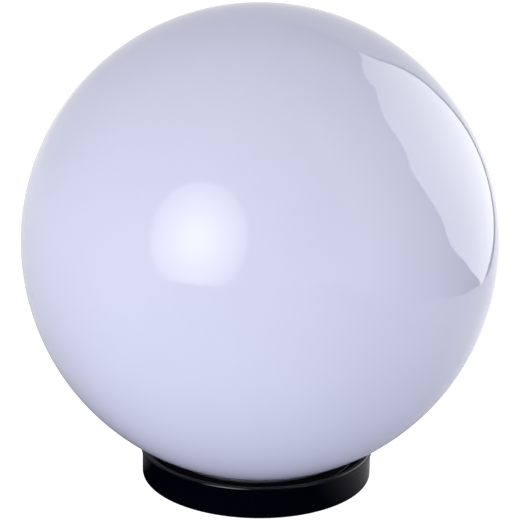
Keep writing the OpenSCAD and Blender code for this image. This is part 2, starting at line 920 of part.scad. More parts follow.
globe();
neck_seal();
base_shell();
base_gasket();
cable_grommet();
terminal_block();
terminal_block_clamps();
terminal_block_screws();
terminal_block_fixing_screw();
lampholder_body();
lampholder_shell();
lampholder_terminals();
lampholder_terminal_screws();
lampholder_fixing_screws();
contact_foot();
contact_tongue();
live_lead();
neutral_lead();
lamp_tip();
lamp_cap();
lamp_insulator();
lamp_housing();
lamp_heat_sink();
lamp_led_board();
lamp_leds();
lamp_driver_board();
lamp_capacitor();
lamp_coil();
lamp_chips();
lamp_inner_leads();
lamp_bulb();
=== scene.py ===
import math

import bmesh
import bpy
from mathutils import Matrix, Vector


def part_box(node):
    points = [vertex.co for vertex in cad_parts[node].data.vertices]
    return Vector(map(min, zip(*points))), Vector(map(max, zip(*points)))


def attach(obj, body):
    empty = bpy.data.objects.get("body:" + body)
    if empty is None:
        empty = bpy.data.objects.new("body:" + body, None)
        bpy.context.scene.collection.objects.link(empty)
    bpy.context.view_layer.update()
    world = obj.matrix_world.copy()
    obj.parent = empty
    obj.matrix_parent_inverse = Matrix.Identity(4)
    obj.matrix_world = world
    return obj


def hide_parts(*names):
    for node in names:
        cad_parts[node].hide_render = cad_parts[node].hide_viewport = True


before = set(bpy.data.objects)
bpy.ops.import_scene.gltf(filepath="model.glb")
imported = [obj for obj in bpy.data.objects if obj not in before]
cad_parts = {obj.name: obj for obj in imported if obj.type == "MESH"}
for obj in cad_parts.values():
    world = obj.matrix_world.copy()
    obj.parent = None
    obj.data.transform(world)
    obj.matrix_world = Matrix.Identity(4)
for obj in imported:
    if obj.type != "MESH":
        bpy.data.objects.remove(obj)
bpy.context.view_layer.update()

bl_info = {
    "name": "Ball light",
    "version": (1, 0, 0),
    "blender": (4, 5, 0),
    "location": "3D View > Sidebar > Ball light",
    "description": "Opal globe light on a black base, with its lampholder and lamp, piece by piece",
    "category": "Add Mesh",
}

MM = 0.001
FULL_TURN = 2 * math.pi


def linear(code):
    """Turns an sRGB hex colour into linear red, green, blue and alpha."""
    values = [int(code[i:i + 2], 16) / 255 for i in (1, 3, 5)]
    return tuple(v / 12.92 if v <= 0.04045 else ((v + 0.055) / 1.055) ** 2.4 for v in values) + (1.0,)


def height(node, end):
    """Height of a CAD node's lowest (0) or highest (1) point."""
    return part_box(node)[end].z


def reach(node):
    """Largest distance of a round CAD node from the axis, taken across its width."""
    low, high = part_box(node)
    return (high.x - low.x) / 2


class GlobeSizes(bpy.types.PropertyGroup):
    """Sizes of the globe and of the neck it locks by"""

    radius: bpy.props.FloatProperty(
        name="Radius", description="Outer radius of the ball",
        default=reach("globe"), unit="LENGTH", subtype="DISTANCE")
    wall: bpy.props.FloatProperty(
        name="Wall", description="Wall thickness of the ball",
        default=2 * MM, unit="LENGTH", subtype="DISTANCE")
    neck_radius: bpy.props.FloatProperty(
        name="Neck radius", description="Outer radius of the neck",
        default=48 * MM, unit="LENGTH", subtype="DISTANCE")
    neck_wall: bpy.props.FloatProperty(
        name="Neck wall", description="Wall thickness of the neck",
        default=2.2 * MM, unit="LENGTH", subtype="DISTANCE")
    lug_reach: bpy.props.FloatProperty(
        name="Lug reach", description="How far the neck's lugs stand out",
        default=2.6 * MM, unit="LENGTH", subtype="DISTANCE")
    lug_angle: bpy.props.FloatProperty(
        name="Lug angle", description="Angle that each lug takes up",
        default=math.radians(24), unit="ROTATION", subtype="ANGLE")


class BaseSizes(bpy.types.PropertyGroup):
    """Sizes of the black base"""

    foot_radius: bpy.props.FloatProperty(
        name="Foot radius", description="Outer radius of the collar at its foot",
        default=62 * MM, unit="LENGTH", subtype="DISTANCE")
    wall: bpy.props.FloatProperty(
        name="Wall", description="Wall thickness of the collar",
        default=2.2 * MM, unit="LENGTH", subtype="DISTANCE")
    rim_height: bpy.props.FloatProperty(
        name="Rim height", description="Height of the rolled rim",
        default=2.2 * MM, unit="LENGTH", subtype="DISTANCE")
    ring_radius: bpy.props.FloatProperty(
        name="Ring radius", description="Inside radius of the bayonet ring",
        default=51.2 * MM, unit="LENGTH", subtype="DISTANCE")
    ribs: bpy.props.IntProperty(
        name="Ribs", description="Number of stiffening ribs round the moat", default=12, min=0, max=48)
    fixing_pitch: bpy.props.FloatProperty(
        name="Fixing pitch", description="Spacing of the four fixing holes, both ways",
        default=52 * MM, unit="LENGTH", subtype="DISTANCE")


class StageSettings(bpy.types.PropertyGroup):
    """The camera and the studio light"""

    distance: bpy.props.FloatProperty(
        name="Camera distance", description="From the camera to the middle of the globe",
        default=0.9965, unit="LENGTH", subtype="DISTANCE")
    elevation: bpy.props.FloatProperty(
        name="Camera elevation", description="Angle at which the camera looks down",
        default=math.radians(17.6), unit="ROTATION", subtype="ANGLE")
    roll: bpy.props.FloatProperty(
        name="Camera roll", description="Turn of the camera about its line of sight",
        default=math.radians(0.95), unit="ROTATION", subtype="ANGLE")
    lens: bpy.props.FloatProperty(
        name="Lens", description="Focal length on a 36 mm frame, in millimetres", default=131.2)
    aim_right: bpy.props.FloatProperty(
        name="Aim right", description="How far right of the picture's middle the globe lies, in pixels",
        default=-0.1)
    aim_up: bpy.props.FloatProperty(
        name="Aim up", description="How far above the picture's middle the globe lies, in pixels",
        default=18.5)
    key: bpy.props.FloatProperty(
        name="Softbox", description="Brightness of the softbox at its middle", default=6.45)
    panel: bpy.props.FloatProperty(
        name="Side panel", description="Brightness of the panel at the right", default=3.1)
    ambient: bpy.props.FloatProperty(
        name="Ambient", description="Brightness of the room, taken over all its sides", default=1.02)
    lean: bpy.props.FloatVectorProperty(
        name="Lean", description="How much brighter the room gets to the right, to the back and upwards",
        default=(0.17, 0.3, -0.45), subtype="XYZ")
    surround: bpy.props.FloatProperty(
        name="Surround", description="Brightness of the room where gloss mirrors it", default=0.5)
    surround_lean: bpy.props.FloatVectorProperty(
        name="Surround lean", description="How much brighter that room gets to the right, back and top",
        default=(0.36, 0.38, -0.95), subtype="XYZ")
    shade: bpy.props.FloatProperty(
        name="Shade", description="Brightness of that room's dark side", default=0.02)
    table: bpy.props.FloatProperty(
        name="Table", description="Brightness of the table where gloss mirrors it", default=0.36)
    table_lean: bpy.props.FloatVectorProperty(
        name="Table lean", description="How much brighter that table gets to the right and the back",
        default=(0.27, 0.68, 0.0), subtype="XYZ")
    panel_fade: bpy.props.FloatProperty(
        name="Panel fade", description="How much darker the panel gets with each metre from its middle",
        default=3.9)


def settings():
    """The scene's property groups by short names."""
    scene = bpy.context.scene
    return scene.ball_globe, scene.ball_base, scene.ball_stage


def add(tree, kind, inputs=None, **values):
    """Adds a node, sets its properties, and fills its inputs with values, sockets or nodes."""
    node = tree.nodes.new(kind)
    for name, value in values.items():
        setattr(node, name, value)
    for key, value in (inputs or {}).items():
        if isinstance(value, bpy.types.Node):
            tree.links.new(value.outputs[0], node.inputs[key])
        elif isinstance(value, bpy.types.NodeSocket):
            tree.links.new(value, node.inputs[key])
        else:
            node.inputs[key].default_value = value
    return node


def new_material(name, **shader_values):
    """A material with one Principled shader; returns it, its tree and the shader."""
    material = bpy.data.materials.new(name)
    material.use_nodes = True
    tree = material.node_tree
    tree.nodes.clear()
    shader = add(tree, "ShaderNodeBsdfPrincipled", {k.replace("_", " "): v for k, v in shader_values.items()})
    add(tree, "ShaderNodeOutputMaterial", {"Surface": shader})
    return material, tree, shader


def pattern(tree, size, detail=2.0, stretch=(1, 1, 1), roughness=0.5):
    """Noise in object coordinates whose features are about size metres across."""
    place = add(tree, "ShaderNodeTexCoord")
    scaled = add(tree, "ShaderNodeMapping", {"Vector": place.outputs["Object"], "Scale": stretch})
    return add(tree, "ShaderNodeTexNoise", {
        "Vector": scaled, "Scale": 1 / size, "Detail": detail, "Roughness": roughness})


def finish(tree, shader, dark, light, mottle, rough, grain, bump, stretch=(1, 1, 1)):
    """Gives a shader two shades mottled at one size, a range of roughness, and a bump of one grain,
    which stretch draws out into lines."""
    spots = pattern(tree, mottle, 3.0)
    shade = add(tree, "ShaderNodeMix", {
        0: spots, 6: linear(dark), 7: linear(light)}, data_type="RGBA")
    tree.links.new(shade.outputs[2], shader.inputs["Base Color"])
    sheen = add(tree, "ShaderNodeMapRange", {"Value": spots, "To Min": rough[0], "To Max": rough[1]})
    tree.links.new(sheen.outputs[0], shader.inputs["Roughness"])
    relief = add(tree, "ShaderNodeBump", {
        "Height": pattern(tree, grain, stretch=stretch), "Distance": bump, "Strength": 1.0})
    tree.links.new(relief.outputs[0], shader.inputs["Normal"])
    return shade, relief


def opal_acrylic():
    """Opal acrylic, blow-moulded: milky and slightly blue, with a hard polished skin that is
    wavy over a few centimetres, where the blown wall cooled."""
    material, tree, shader = new_material("opal_acrylic", IOR=1.49)
    finish(tree, shader, "#CDCFE5", "#D3D5EA", 60 * MM, (0.03, 0.045), 45 * MM, 0.02 * MM)
    return material


def gloss_black_abs():
    """Black ABS, injection-moulded in a polished tool: deep black, glossy, with a faint ripple
    from the tool and fine scuffs that dull it in places."""
    material, tree, shader = new_material("gloss_black_abs", IOR=1.53)
    finish(tree, shader, "#010209", "#02030C", 9 * MM, (0.07, 0.13), 2.5 * MM, 0.01 * MM)
    return material


def black_silicone():
    """Black silicone rubber, compression-moulded: matt, with a soft dusty bloom that takes most
    of its shine."""
    material, tree, shader = new_material("black_silicone", IOR=1.41, Specular_IOR_Level=0.25)
    finish(tree, shader, "#08080D", "#0F0F16", 4 * MM, (0.6, 0.75), 0.5 * MM, 0.02 * MM)
    return material


def black_rubber():
    """Black EPDM rubber, extruded and moulded: matt, with a fine sandy grain and pale bloom."""
    material, tree, shader = new_material("black_rubber", IOR=1.5)
    finish(tree, shader, "#121214", "#232326", 3 * MM, (0.6, 0.8), 0.35 * MM, 0.03 * MM)
    return material


def natural_polyamide():
    """Polyamide 66, injection-moulded in a spark-eroded tool: ivory, waxy, with a fine even grain."""
    material, tree, shader = new_material("natural_polyamide", IOR=1.53)
    finish(tree, shader, "#D8D3C4", "#E3DFD2", 6 * MM, (0.36, 0.5), 0.35 * MM, 0.02 * MM)
    return material


def turned_brass():
    """Brass, turned from bar: warm yellow and bright, with tool rings a tenth of a millimetre apart."""
    material, tree, shader = new_material("turned_brass", Metallic=1.0)
    finish(tree, shader, "#CDA85A", "#DEBD74", 2 * MM, (0.18, 0.32), 0.2 * MM, 0.01 * MM, (12, 1, 1))
    return material


def zinc_plated_steel():
    """Steel, cold-headed and zinc-plated: cool grey, satin, with the plating's cloudy patches."""
    material, tree, shader = new_material("zinc_plated_steel", Metallic=1.0)
    finish(tree, shader, "#A9ADB2", "#C9C9C2", 1.5 * MM, (0.24, 0.42), 0.25 * MM, 0.012 * MM)
    return material


def glazed_porcelain():
    """Electrical porcelain, pressed and glazed: dense warm white under a glassy coat that pools in
    soft waves, with a sprinkle of pinholes about half a millimetre across."""
    material, tree, shader = new_material(
        "glazed_porcelain", IOR=1.52, Coat_Weight=0.7, Coat_Roughness=0.04)
    shade, _ = finish(
        tree, shader, "#E0DCD0", "#EBE8DE", 9 * MM, (0.2, 0.32), 5 * MM, 0.06 * MM)
    place = add(tree, "ShaderNodeTexCoord")
    cells = add(tree, "ShaderNodeTexVoronoi", {"Vector": place.outputs["Object"], "Scale": 1 / (6 * MM)})
    hole = add(tree, "ShaderNodeMath", {0: cells.outputs["Distance"], 1: 0.05}, operation="LESS_THAN")
    speck = add(tree, "ShaderNodeMix", {0: hole, 6: shade.outputs[2], 7: linear("#9B9382")}, data_type="RGBA")
    tree.links.new(speck.outputs[2], shader.inputs["Base Color"])
    return material


def nickelled_brass():
    """Brass sheet, drawn, rolled into a thread and nickel-plated: silvery with a warm cast, bright
    on the crests, with faint rolling lines round it."""
    material, tree, shader = new_material("nickelled_brass", Metallic=1.0)
    finish(tree, shader, "#BDB7A8", "#D2CDC0", 4 * MM, (0.16, 0.3), 0.4 * MM, 0.015 * MM, (0.1, 0.1, 2))
    return material


def phosphor_bronze():
    """Phosphor bronze strip, rolled and stamped: reddish brown, satin, with fine rolling lines."""
    material, tree, shader = new_material("phosphor_bronze", Metallic=1.0)
    finish(tree, shader, "#A9744C", "#BF8A5E", 3 * MM, (0.22, 0.36), 0.3 * MM, 0.01 * MM, (6, 1, 1))
    return material


def drawn_copper():
    """Copper wire, drawn and stripped: pinkish orange, bright, with darker fingered patches."""
    material, tree, shader = new_material("drawn_copper", Metallic=1.0)
    finish(tree, shader, "#C7744F", "#DE9470", 2 * MM, (0.18, 0.32), 0.2 * MM, 0.008 * MM)
    return material


def pvc_insulation(name, dark, light):
    """PVC, extruded over wire: even, soft-glossy, with faint rings from the die."""
    material, tree, shader = new_material(name, IOR=1.53)
    finish(tree, shader, dark, light, 4 * MM, (0.3, 0.42), 0.6 * MM, 0.02 * MM)
    return material


def tin_solder():
    """Tin solder, flowed and set: bright grey, frosted in patches, with soft ripples."""
    material, tree, shader = new_material("tin_solder", Metallic=1.0)
    finish(tree, shader, "#9FA1A4", "#C2C3C4", 1.2 * MM, (0.2, 0.5), 1.5 * MM, 0.06 * MM)
    return material


def black_glass():
    """Black glass, pressed hot into the cap: deep and glossy, with slow flow ripples."""
    material, tree, shader = new_material("black_glass", IOR=1.52)
    finish(tree, shader, "#0B0B0F", "#141418", 3 * MM, (0.03, 0.1), 2 * MM, 0.05 * MM)
    return material


def white_polycarbonate():
    """Polycarbonate, injection-moulded: cool white, satin, with a fine spark-eroded grain."""
    material, tree, shader = new_material("white_polycarbonate", IOR=1.58)
    finish(tree, shader, "#D9DADB", "#E2E3E4", 12 * MM, (0.32, 0.42), 0.4 * MM, 0.015 * MM)
    return material


def pressed_aluminium():
    """Aluminium sheet, pressed: light grey, satin, with rolling lines all one way."""
    material, tree, shader = new_material("pressed_aluminium", Metallic=1.0)
    finish(tree, shader, "#B4B7BA", "#CBCDCF", 5 * MM, (0.26, 0.4), 0.35 * MM, 0.015 * MM, (0.08, 1, 1))
    return material


def solder_mask(name, dark, light, track, pitch, turn=0.0):
    """Circuit board, laminated and printed with solder mask: satin, with the copper tracks under
    it standing up as paler lines."""
    material, tree, shader = new_material(name, IOR=1.55)
    shade, relief = finish(tree, shader, dark, light, 6 * MM, (0.28, 0.4), 0.5 * MM, 0.01 * MM)
    place = add(tree, "ShaderNodeTexCoord")
    flat = add(tree, "ShaderNodeMapping", {"Vector": place.outputs["Object"], "Rotation": (turn, 0, 0)})
    tracks = add(tree, "ShaderNodeTexBrick", {
        "Vector": flat, "Scale": 1.0, "Mortar Size": 0.3 * MM, "Mortar Smooth": 0.2,
        "Brick Width": 2.6 * pitch, "Row Height": pitch}, offset=0.4, squash=0.7, squash_frequency=3)
    line = add(tree, "ShaderNodeMix", {
        0: tracks.outputs["Fac"], 6: shade.outputs[2], 7: linear(track)}, data_type="RGBA")
    tree.links.new(line.outputs[2], shader.inputs["Base Color"])
    raised = add(tree, "ShaderNodeBump", {
        "Height": tracks.outputs["Fac"], "Normal": relief, "Distance": 0.05 * MM})
    tree.links.new(raised.outputs[0], shader.inputs["Normal"])
    return material


def driver_laminate():
    """The driver's board: glass-epoxy under green mask, its tracks a paler green."""
    return solder_mask("driver_laminate", "#1F5A36", "#276B41", "#4E9160", 2.6 * MM, -math.pi / 2)


def white_ceramic():
    """Moulded white resin of the LED packages: bright, matt and slightly chalky."""
    material, tree, shader = new_material("white_led_resin", IOR=1.5)
    finish(tree, shader, "#DADBD9", "#E6E6E3", 1 * MM, (0.4, 0.55), 0.2 * MM, 0.005 * MM)
    return material


def cast_phosphor():
    """Phosphor in silicone, dispensed into the LED's cup: matt orange-yellow, slightly domed."""
    material, tree, shader = new_material("cast_phosphor", IOR=1.45)
    finish(tree, shader, "#D6A53A", "#E4B850", 1 * MM, (0.3, 0.45), 0.3 * MM, 0.01 * MM)
    return material


def shrink_sleeve():
    """PVC shrink sleeve on the capacitor: dark blue, glossy, drawn tight, with one pale band down
    the side that marks its negative lead."""
    material, tree, shader = new_material("shrink_sleeve", IOR=1.54)
    shade, _ = finish(tree, shader, "#12182E", "#1A2240", 2 * MM, (0.16, 0.26), 1 * MM, 0.02 * MM)
    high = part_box("lamp_capacitor")[1]
    place = add(tree, "ShaderNodeTexCoord")
    apart = add(tree, "ShaderNodeSeparateXYZ", {0: place.outputs["Object"]})
    band = add(tree, "ShaderNodeMath", {0: apart.outputs[0], 1: high.x - 1.1 * MM}, operation="GREATER_THAN")
    marked = add(tree, "ShaderNodeMix", {
        0: band, 6: shade.outputs[2], 7: linear("#A9AEBB")}, data_type="RGBA")
    tree.links.new(marked.outputs[2], shader.inputs["Base Color"])
    return material


def enamelled_copper():
    """Copper wire, enamelled and wound: deep amber, glossy."""
    material, tree, shader = new_material(
        "enamelled_copper", Metallic=0.85, Coat_Weight=0.8, Coat_Roughness=0.08)
    finish(tree, shader, "#8F4A22", "#B0642F", 1.2 * MM, (0.25, 0.35), 0.3 * MM, 0.005 * MM)
    return material


def moulded_ferrite():
    """Ferrite, pressed and sintered: charcoal, matt, with a gritty grain."""
    material, tree, shader = new_material("moulded_ferrite", IOR=1.9)
    finish(tree, shader, "#25262A", "#36373B", 1.5 * MM, (0.55, 0.7), 0.25 * MM, 0.02 * MM)
    return material


def chip_resin():
    """Epoxy moulding compound of the chips: charcoal black, matt, finely pitted."""
    material, tree, shader = new_material("chip_resin", IOR=1.55)
    finish(tree, shader, "#1C1C1E", "#28282B", 1 * MM, (0.5, 0.65), 0.15 * MM, 0.01 * MM)
    return material


def frosted_polycarbonate():
    """Frosted polycarbonate, blow-moulded with a diffuser in it: milky, soft-glossy, very finely
    grained, so that nothing inside shows as a shape."""
    material, tree, shader = new_material("frosted_polycarbonate", IOR=1.58)
    finish(tree, shader, "#E0E1E0", "#E8E9E7", 14 * MM, (0.34, 0.46), 0.5 * MM, 0.02 * MM)
    return material


def new_tree(name, sockets):
    """A Geometry Nodes tree with named inputs; returns it and its input and output nodes."""
    tree = bpy.data.node_groups.new(name, "GeometryNodeTree")
    tree.is_modifier = True
    tree.interface.new_socket("Geometry", in_out="INPUT", socket_type="NodeSocketGeometry")
    for label, (kind, value) in sockets.items():
        socket = tree.interface.new_socket(label, in_out="INPUT", socket_type="NodeSocket" + kind)
        if value is not None:
            socket.default_value = value
    tree.interface.new_socket("Geometry", in_out="OUTPUT", socket_type="NodeSocketGeometry")
    given = add(tree, "NodeGroupInput")
    return tree, given.outputs


def close_tree(tree, geometry, material):
    """Ends a tree in Realize Instances and Set Material."""
    solid = add(tree, "GeometryNodeRealizeInstances", {"Geometry": geometry})
    painted = add(tree, "GeometryNodeSetMaterial", {"Geometry": solid, "Material": material})
    add(tree, "NodeGroupOutput", {"Geometry": painted})


def grow(piece, tree, values):
    """Runs a tree on a piece once and keeps the result as the piece's plain mesh."""
    modifier = piece.modifiers.new(tree.name, "NODES")
    modifier.node_group = tree
    for socket in tree.interface.items_tree:
        if socket.in_out == "INPUT" and socket.name in values:
            modifier[socket.identifier] = values[socket.name]
    return keep(piece)


def keep(piece):
    """Keeps what a piece's modifiers make as its plain mesh, and takes them off."""
    graph = bpy.context.evaluated_depsgraph_get()
    mesh = bpy.data.meshes.new_from_object(piece.evaluated_get(graph))
    piece.modifiers.clear()
    mesh.name = piece.name
    piece.data = mesh
    return piece


def carve(piece, *shapes, operation="DIFFERENCE"):
    """Cuts shapes out of a piece, or joins them to it, one after the other."""
    for shape in shapes:
        modifier = piece.modifiers.new("carve", "BOOLEAN")
        modifier.operation = operation
        modifier.solver = "EXACT"
        modifier.object = shape
    keep(piece)
    for shape in shapes:
        bpy.data.objects.remove(shape)
    smooth(piece.data)
    return piece


def repeated_tree():
    """Copies a shape to every point, turned by the point's "turn"."""
    tree, given = new_tree("Repeated piece", {"Shape": ("Object", None), "Material": ("Material", None)})
    turn = add(tree, "GeometryNodeInputNamedAttribute", {"Name": "turn"}, data_type="FLOAT_VECTOR")
    turn = add(tree, "FunctionNodeEulerToRotation", {0: turn})
    shape = add(tree, "GeometryNodeObjectInfo", {"Object": given["Shape"]}, transform_space="ORIGINAL")
    copies = add(tree, "GeometryNodeInstanceOnPoints", {
        "Points": given["Geometry"], "Instance": shape.outputs["Geometry"], "Rotation": turn})
    close_tree(tree, copies, given["Material"])
    return tree


def winding_tree():
    """Winds a round wire into a close spiral on the upright axis."""
    tree, given = new_tree("Winding", {
        "Turns": ("Float", 20.0), "Radius": ("Float", 0.003), "Height": ("Float", 0.007),
        "Wire radius": ("Float", 0.0002), "Material": ("Material", None)})
    spiral = add(tree, "GeometryNodeCurveSpiral", {
        "Resolution": 28, "Rotations": given["Turns"], "Start Radius": given["Radius"],
        "End Radius": given["Radius"], "Height": given["Height"]})
    section = add(tree, "GeometryNodeCurvePrimitiveCircle", {"Resolution": 8, "Radius": given["Wire radius"]})
    wire = add(tree, "GeometryNodeCurveToMesh", {
        "Curve": spiral, "Profile Curve": section.outputs["Curve"], "Fill Caps": True})
    close_tree(tree, wire, given["Material"])
    return tree


def turned_tree():
    """Turns a profile about the upright axis. Where the profile's points carry "thread", the
    surface winds in and out as a screw thread; where they carry "lug", they step out by it."""
    tree, given = new_tree("Turned piece", {
        "Segments": ("Int", 128), "Closed": ("Bool", True),
        "Thread pitch": ("Float", 1.0), "Thread depth": ("Float", 0.0),
        "Lug count": ("Int", 1), "Lug angle": ("Float", 0.0), "Lug turn": ("Float", 0.0),
        "Material": ("Material", None)})
    profile = given["Geometry"]
    size = add(tree, "GeometryNodeAttributeDomainSize", {"Geometry": profile})
    rows = add(tree, "ShaderNodeMath", {0: size.outputs["Point Count"], 1: given["Closed"]})
    columns = add(tree, "ShaderNodeMath", {0: given["Segments"], 1: 1.0})
    grid = add(tree, "GeometryNodeMeshGrid", {"Vertices X": columns, "Vertices Y": rows})
    index = add(tree, "GeometryNodeInputIndex")
    column = add(tree, "ShaderNodeMath", {0: index, 1: rows}, operation="DIVIDE")
    column = add(tree, "ShaderNodeMath", {0: column}, operation="FLOOR")
    row = add(tree, "ShaderNodeMath", {0: index, 1: rows}, operation="MODULO")
    row = add(tree, "ShaderNodeMath", {0: row, 1: size.outputs["Point Count"]}, operation="MODULO")
    position = add(tree, "GeometryNodeInputPosition")
    point = add(tree, "GeometryNodeSampleIndex", {
        "Geometry": profile, "Value": position, "Index": row}, data_type="FLOAT_VECTOR")
    point = add(tree, "ShaderNodeSeparateXYZ", {0: point})
    marks = {}
    for mark in ("thread", "lug"):
        named = add(tree, "GeometryNodeInputNamedAttribute", {"Name": mark}, data_type="FLOAT")
        marks[mark] = add(tree, "GeometryNodeSampleIndex", {
            "Geometry": profile, "Value": named, "Index": row}, data_type="FLOAT")
    turn = add(tree, "ShaderNodeMath", {0: column, 1: given["Segments"]}, operation="DIVIDE")
    angle = add(tree, "ShaderNodeMath", {0: turn, 1: FULL_TURN}, operation="MULTIPLY")
    climb = add(tree, "ShaderNodeMath", {0: point.outputs[2], 1: given["Thread pitch"]}, operation="DIVIDE")
    phase = add(tree, "ShaderNodeMath", {0: turn, 1: climb}, operation="SUBTRACT")
    phase = add(tree, "ShaderNodeMath", {0: phase, 1: FULL_TURN}, operation="MULTIPLY")
    wave = add(tree, "ShaderNodeMath", {0: phase}, operation="COSINE")
    crest = add(tree, "ShaderNodeMath", {0: wave, 1: marks["thread"]}, operation="MULTIPLY")
    radius = add(tree, "ShaderNodeMath", {
        0: crest, 1: given["Thread depth"], 2: point.outputs[0]}, operation="MULTIPLY_ADD")
    spread = add(tree, "ShaderNodeMath", {0: FULL_TURN, 1: given["Lug count"]}, operation="DIVIDE")
    offset = add(tree, "ShaderNodeMath", {0: angle, 1: given["Lug turn"]}, operation="SUBTRACT")
    share = add(tree, "ShaderNodeMath", {0: offset, 1: spread}, operation="DIVIDE")
    share = add(tree, "ShaderNodeMath", {0: share, 1: 0.5}, operation="PINGPONG")
    off_lug = add(tree, "ShaderNodeMath", {0: share, 1: spread}, operation="MULTIPLY")
    half_lug = add(tree, "ShaderNodeMath", {0: given["Lug angle"], 1: 0.5}, operation="MULTIPLY")
    on_lug = add(tree, "ShaderNodeMath", {0: off_lug, 1: half_lug}, operation="LESS_THAN")
    radius = add(tree, "ShaderNodeMath", {0: on_lug, 1: marks["lug"], 2: radius}, operation="MULTIPLY_ADD")
    x = add(tree, "ShaderNodeMath", {0: angle}, operation="COSINE")
    x = add(tree, "ShaderNodeMath", {0: x, 1: radius}, operation="MULTIPLY")
    y = add(tree, "ShaderNodeMath", {0: angle}, operation="SINE")
    y = add(tree, "ShaderNodeMath", {0: y, 1: radius}, operation="MULTIPLY")
    place = add(tree, "ShaderNodeCombineXYZ", {0: x, 1: y, 2: point.outputs[2]})
    turned = add(tree, "GeometryNodeSetPosition", {"Geometry": grid, "Position": place})
    welded = add(tree, "GeometryNodeMergeByDistance", {"Geometry": turned, "Distance": 1e-7})
    close_tree(tree, welded, given["Material"])
    return tree


def shared_tree(name, make):
    """A tree by its name, made the first time it is needed."""
    return bpy.data.node_groups.get(name) or make()


def outline(corners, steps=6, hold=0.25 * MM):
    """Rounds the corners of a closed outline. Each corner is distance from the axis, height and
    corner radius. Points are held close to each rounding, so that flat faces stay flat."""
    places = [Vector(corner[:2]) for corner in corners]
    points = []
    for i, (_, _, radius) in enumerate(corners):
        here = places[i]
        back = places[i - 1] - here
        ahead = places[(i + 1) % len(places)] - here
        if radius == 0:
            points.append(here)
            continue
        half = back.angle(ahead) / 2
        run = min(radius / math.tan(half), back.length * 0.48, ahead.length * 0.48)
        middle = here + (back.normalized() + ahead.normalized()).normalized() * (run / math.cos(half))
        start = here + back.normalized() * run - middle
        end = here + ahead.normalized() * run - middle
        sweep = math.atan2(start.x * end.y - start.y * end.x, start.dot(end))
        if back.length > 2.5 * run + hold:
            points.append(here + back.normalized() * (run + hold))
        for k in range(steps + 1):
            points.append(middle + Matrix.Rotation(sweep * k / steps, 2) @ start)
        if ahead.length > 2.5 * run + hold:
            points.append(here + ahead.normalized() * (run + hold))
    return points


def arc(centre_z, radius, start, end, steps):
    """Points of a circle about a point on the axis, from one angle above the horizon to another."""
    angles = [start + (end - start) * k / steps for k in range(steps + 1)]
    return [Vector((radius * math.cos(a), centre_z + radius * math.sin(a))) for a in angles]


def smooth(mesh, sharp=35):
    """Shades a mesh smooth, apart from edges sharper than an angle in degrees."""
    mesh.shade_smooth()
    mesh.set_sharp_from_angle(angle=math.radians(sharp))


def new_piece(name, mesh):
    """An object for a mesh, linked into the scene."""
    piece = bpy.data.objects.new(name, mesh)
    bpy.context.scene.collection.objects.link(piece)
    return piece


def settle(piece, body, slot, *nodes):
    """Makes a finished piece ride on its body and hides the CAD nodes it stands for; slot is not used."""
    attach(piece, body)
    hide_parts(*nodes)
    return piece


def turned(name, material, points, segments=128, closed=True, marks=None, **values):
    """A piece turned from a profile of points; marks gives "thread" and "lug" for its points."""
    mesh = bpy.data.meshes.new(name)
    mesh.from_pydata([(p[0], 0, p[1]) for p in points], [], [])
    for mark in ("thread", "lug"):
        attribute = mesh.attributes.new(mark, "FLOAT", "POINT")
        attribute.data.foreach_set("value", (marks or {}).get(mark, [0.0] * len(points)))
    piece = new_piece(name, mesh)
    given = {key.replace("_", " ").capitalize(): value for key, value in values.items()}
    if material is None:
        material = bpy.data.materials.get("plain") or bpy.data.materials.new("plain")
    grow(piece, shared_tree("Turned piece", turned_tree), {
        "Segments": segments, "Closed": closed, "Material": material, **given})
    smooth(piece.data)
    return piece


def block(name, low, high, round_by=0.0, steps=2, material=None):
    """A block between two corners, its edges rounded."""
    form = bmesh.new()
    bmesh.ops.create_cube(form, size=1.0)
    middle, size = (Vector(low) + Vector(high)) / 2, Vector(high) - Vector(low)
    for vert in form.verts:
        vert.co = middle + Vector(a * b for a, b in zip(vert.co, size))
    if round_by:
        bmesh.ops.bevel(form, geom=form.edges[:], offset=round_by, segments=steps, profile=0.5,
                        affect="EDGES", clamp_overlap=True)
    mesh = bpy.data.meshes.new(name)
    form.to_mesh(mesh)
    form.free()
    if material:
        mesh.materials.append(material)
    smooth(mesh)
    return new_piece(name, mesh)


def rod(name, radius, low, high, round_by=0.0, material=None, segments=48):
    """A round bar on the axis between two heights, its ends' edges rounded."""
    points = outline([(0, low, 0), (radius, low, round_by), (radius, high, round_by), (0, high, 0)], steps=4)
    return turned(name, material, points, segments=segments, closed=False)


def placed(piece, x=0, y=0, z=0, turn=0, tilt=0):
    """Tilts a piece's mesh about Y, turns it about the upright axis and moves it, in degrees and metres."""
    turned_by = Matrix.Rotation(math.radians(turn), 4, "Z") @ Matrix.Rotation(math.radians(tilt), 4, "Y")
    piece.data.transform(Matrix.Translation((x, y, z)) @ turned_by)
    return piece


def repeated(name, shape, places, material=None):
    """Copies of a shape at places, each an x, y, z and a turn about the upright axis in degrees."""
    mesh = bpy.data.meshes.new(name)
    mesh.from_pydata([spot[:3] for spot in places], [], [])
    turns = mesh.attributes.new("turn", "FLOAT_VECTOR", "POINT")
    turns.data.foreach_set("vector", [v for spot in places for v in (0, 0, math.radians(spot[3]))])
    piece = new_piece(name, mesh)
    grow(piece, shared_tree("Repeated piece", repeated_tree), {"Shape": shape, "Material": material})
    bpy.data.objects.remove(shape)
    return piece


def round_axis(radius, height, count, start=0.0):
    """Places evenly round the axis, each turned to face away from it."""
    angles = [start + 360 * i / count for i in range(count)]
    return [(radius * math.cos(math.radians(a)), radius * math.sin(math.radians(a)), height, a)
            for a in angles]


def oblong(width, thickness, round_by):
    """Corners of a flat section with rounded edges."""
    x, y = width / 2, thickness / 2
    corners = [(-x, -y, round_by), (x, -y, round_by), (x, y, round_by), (-x, y, round_by)]
    return outline(corners, steps=2, hold=0.05 * MM)


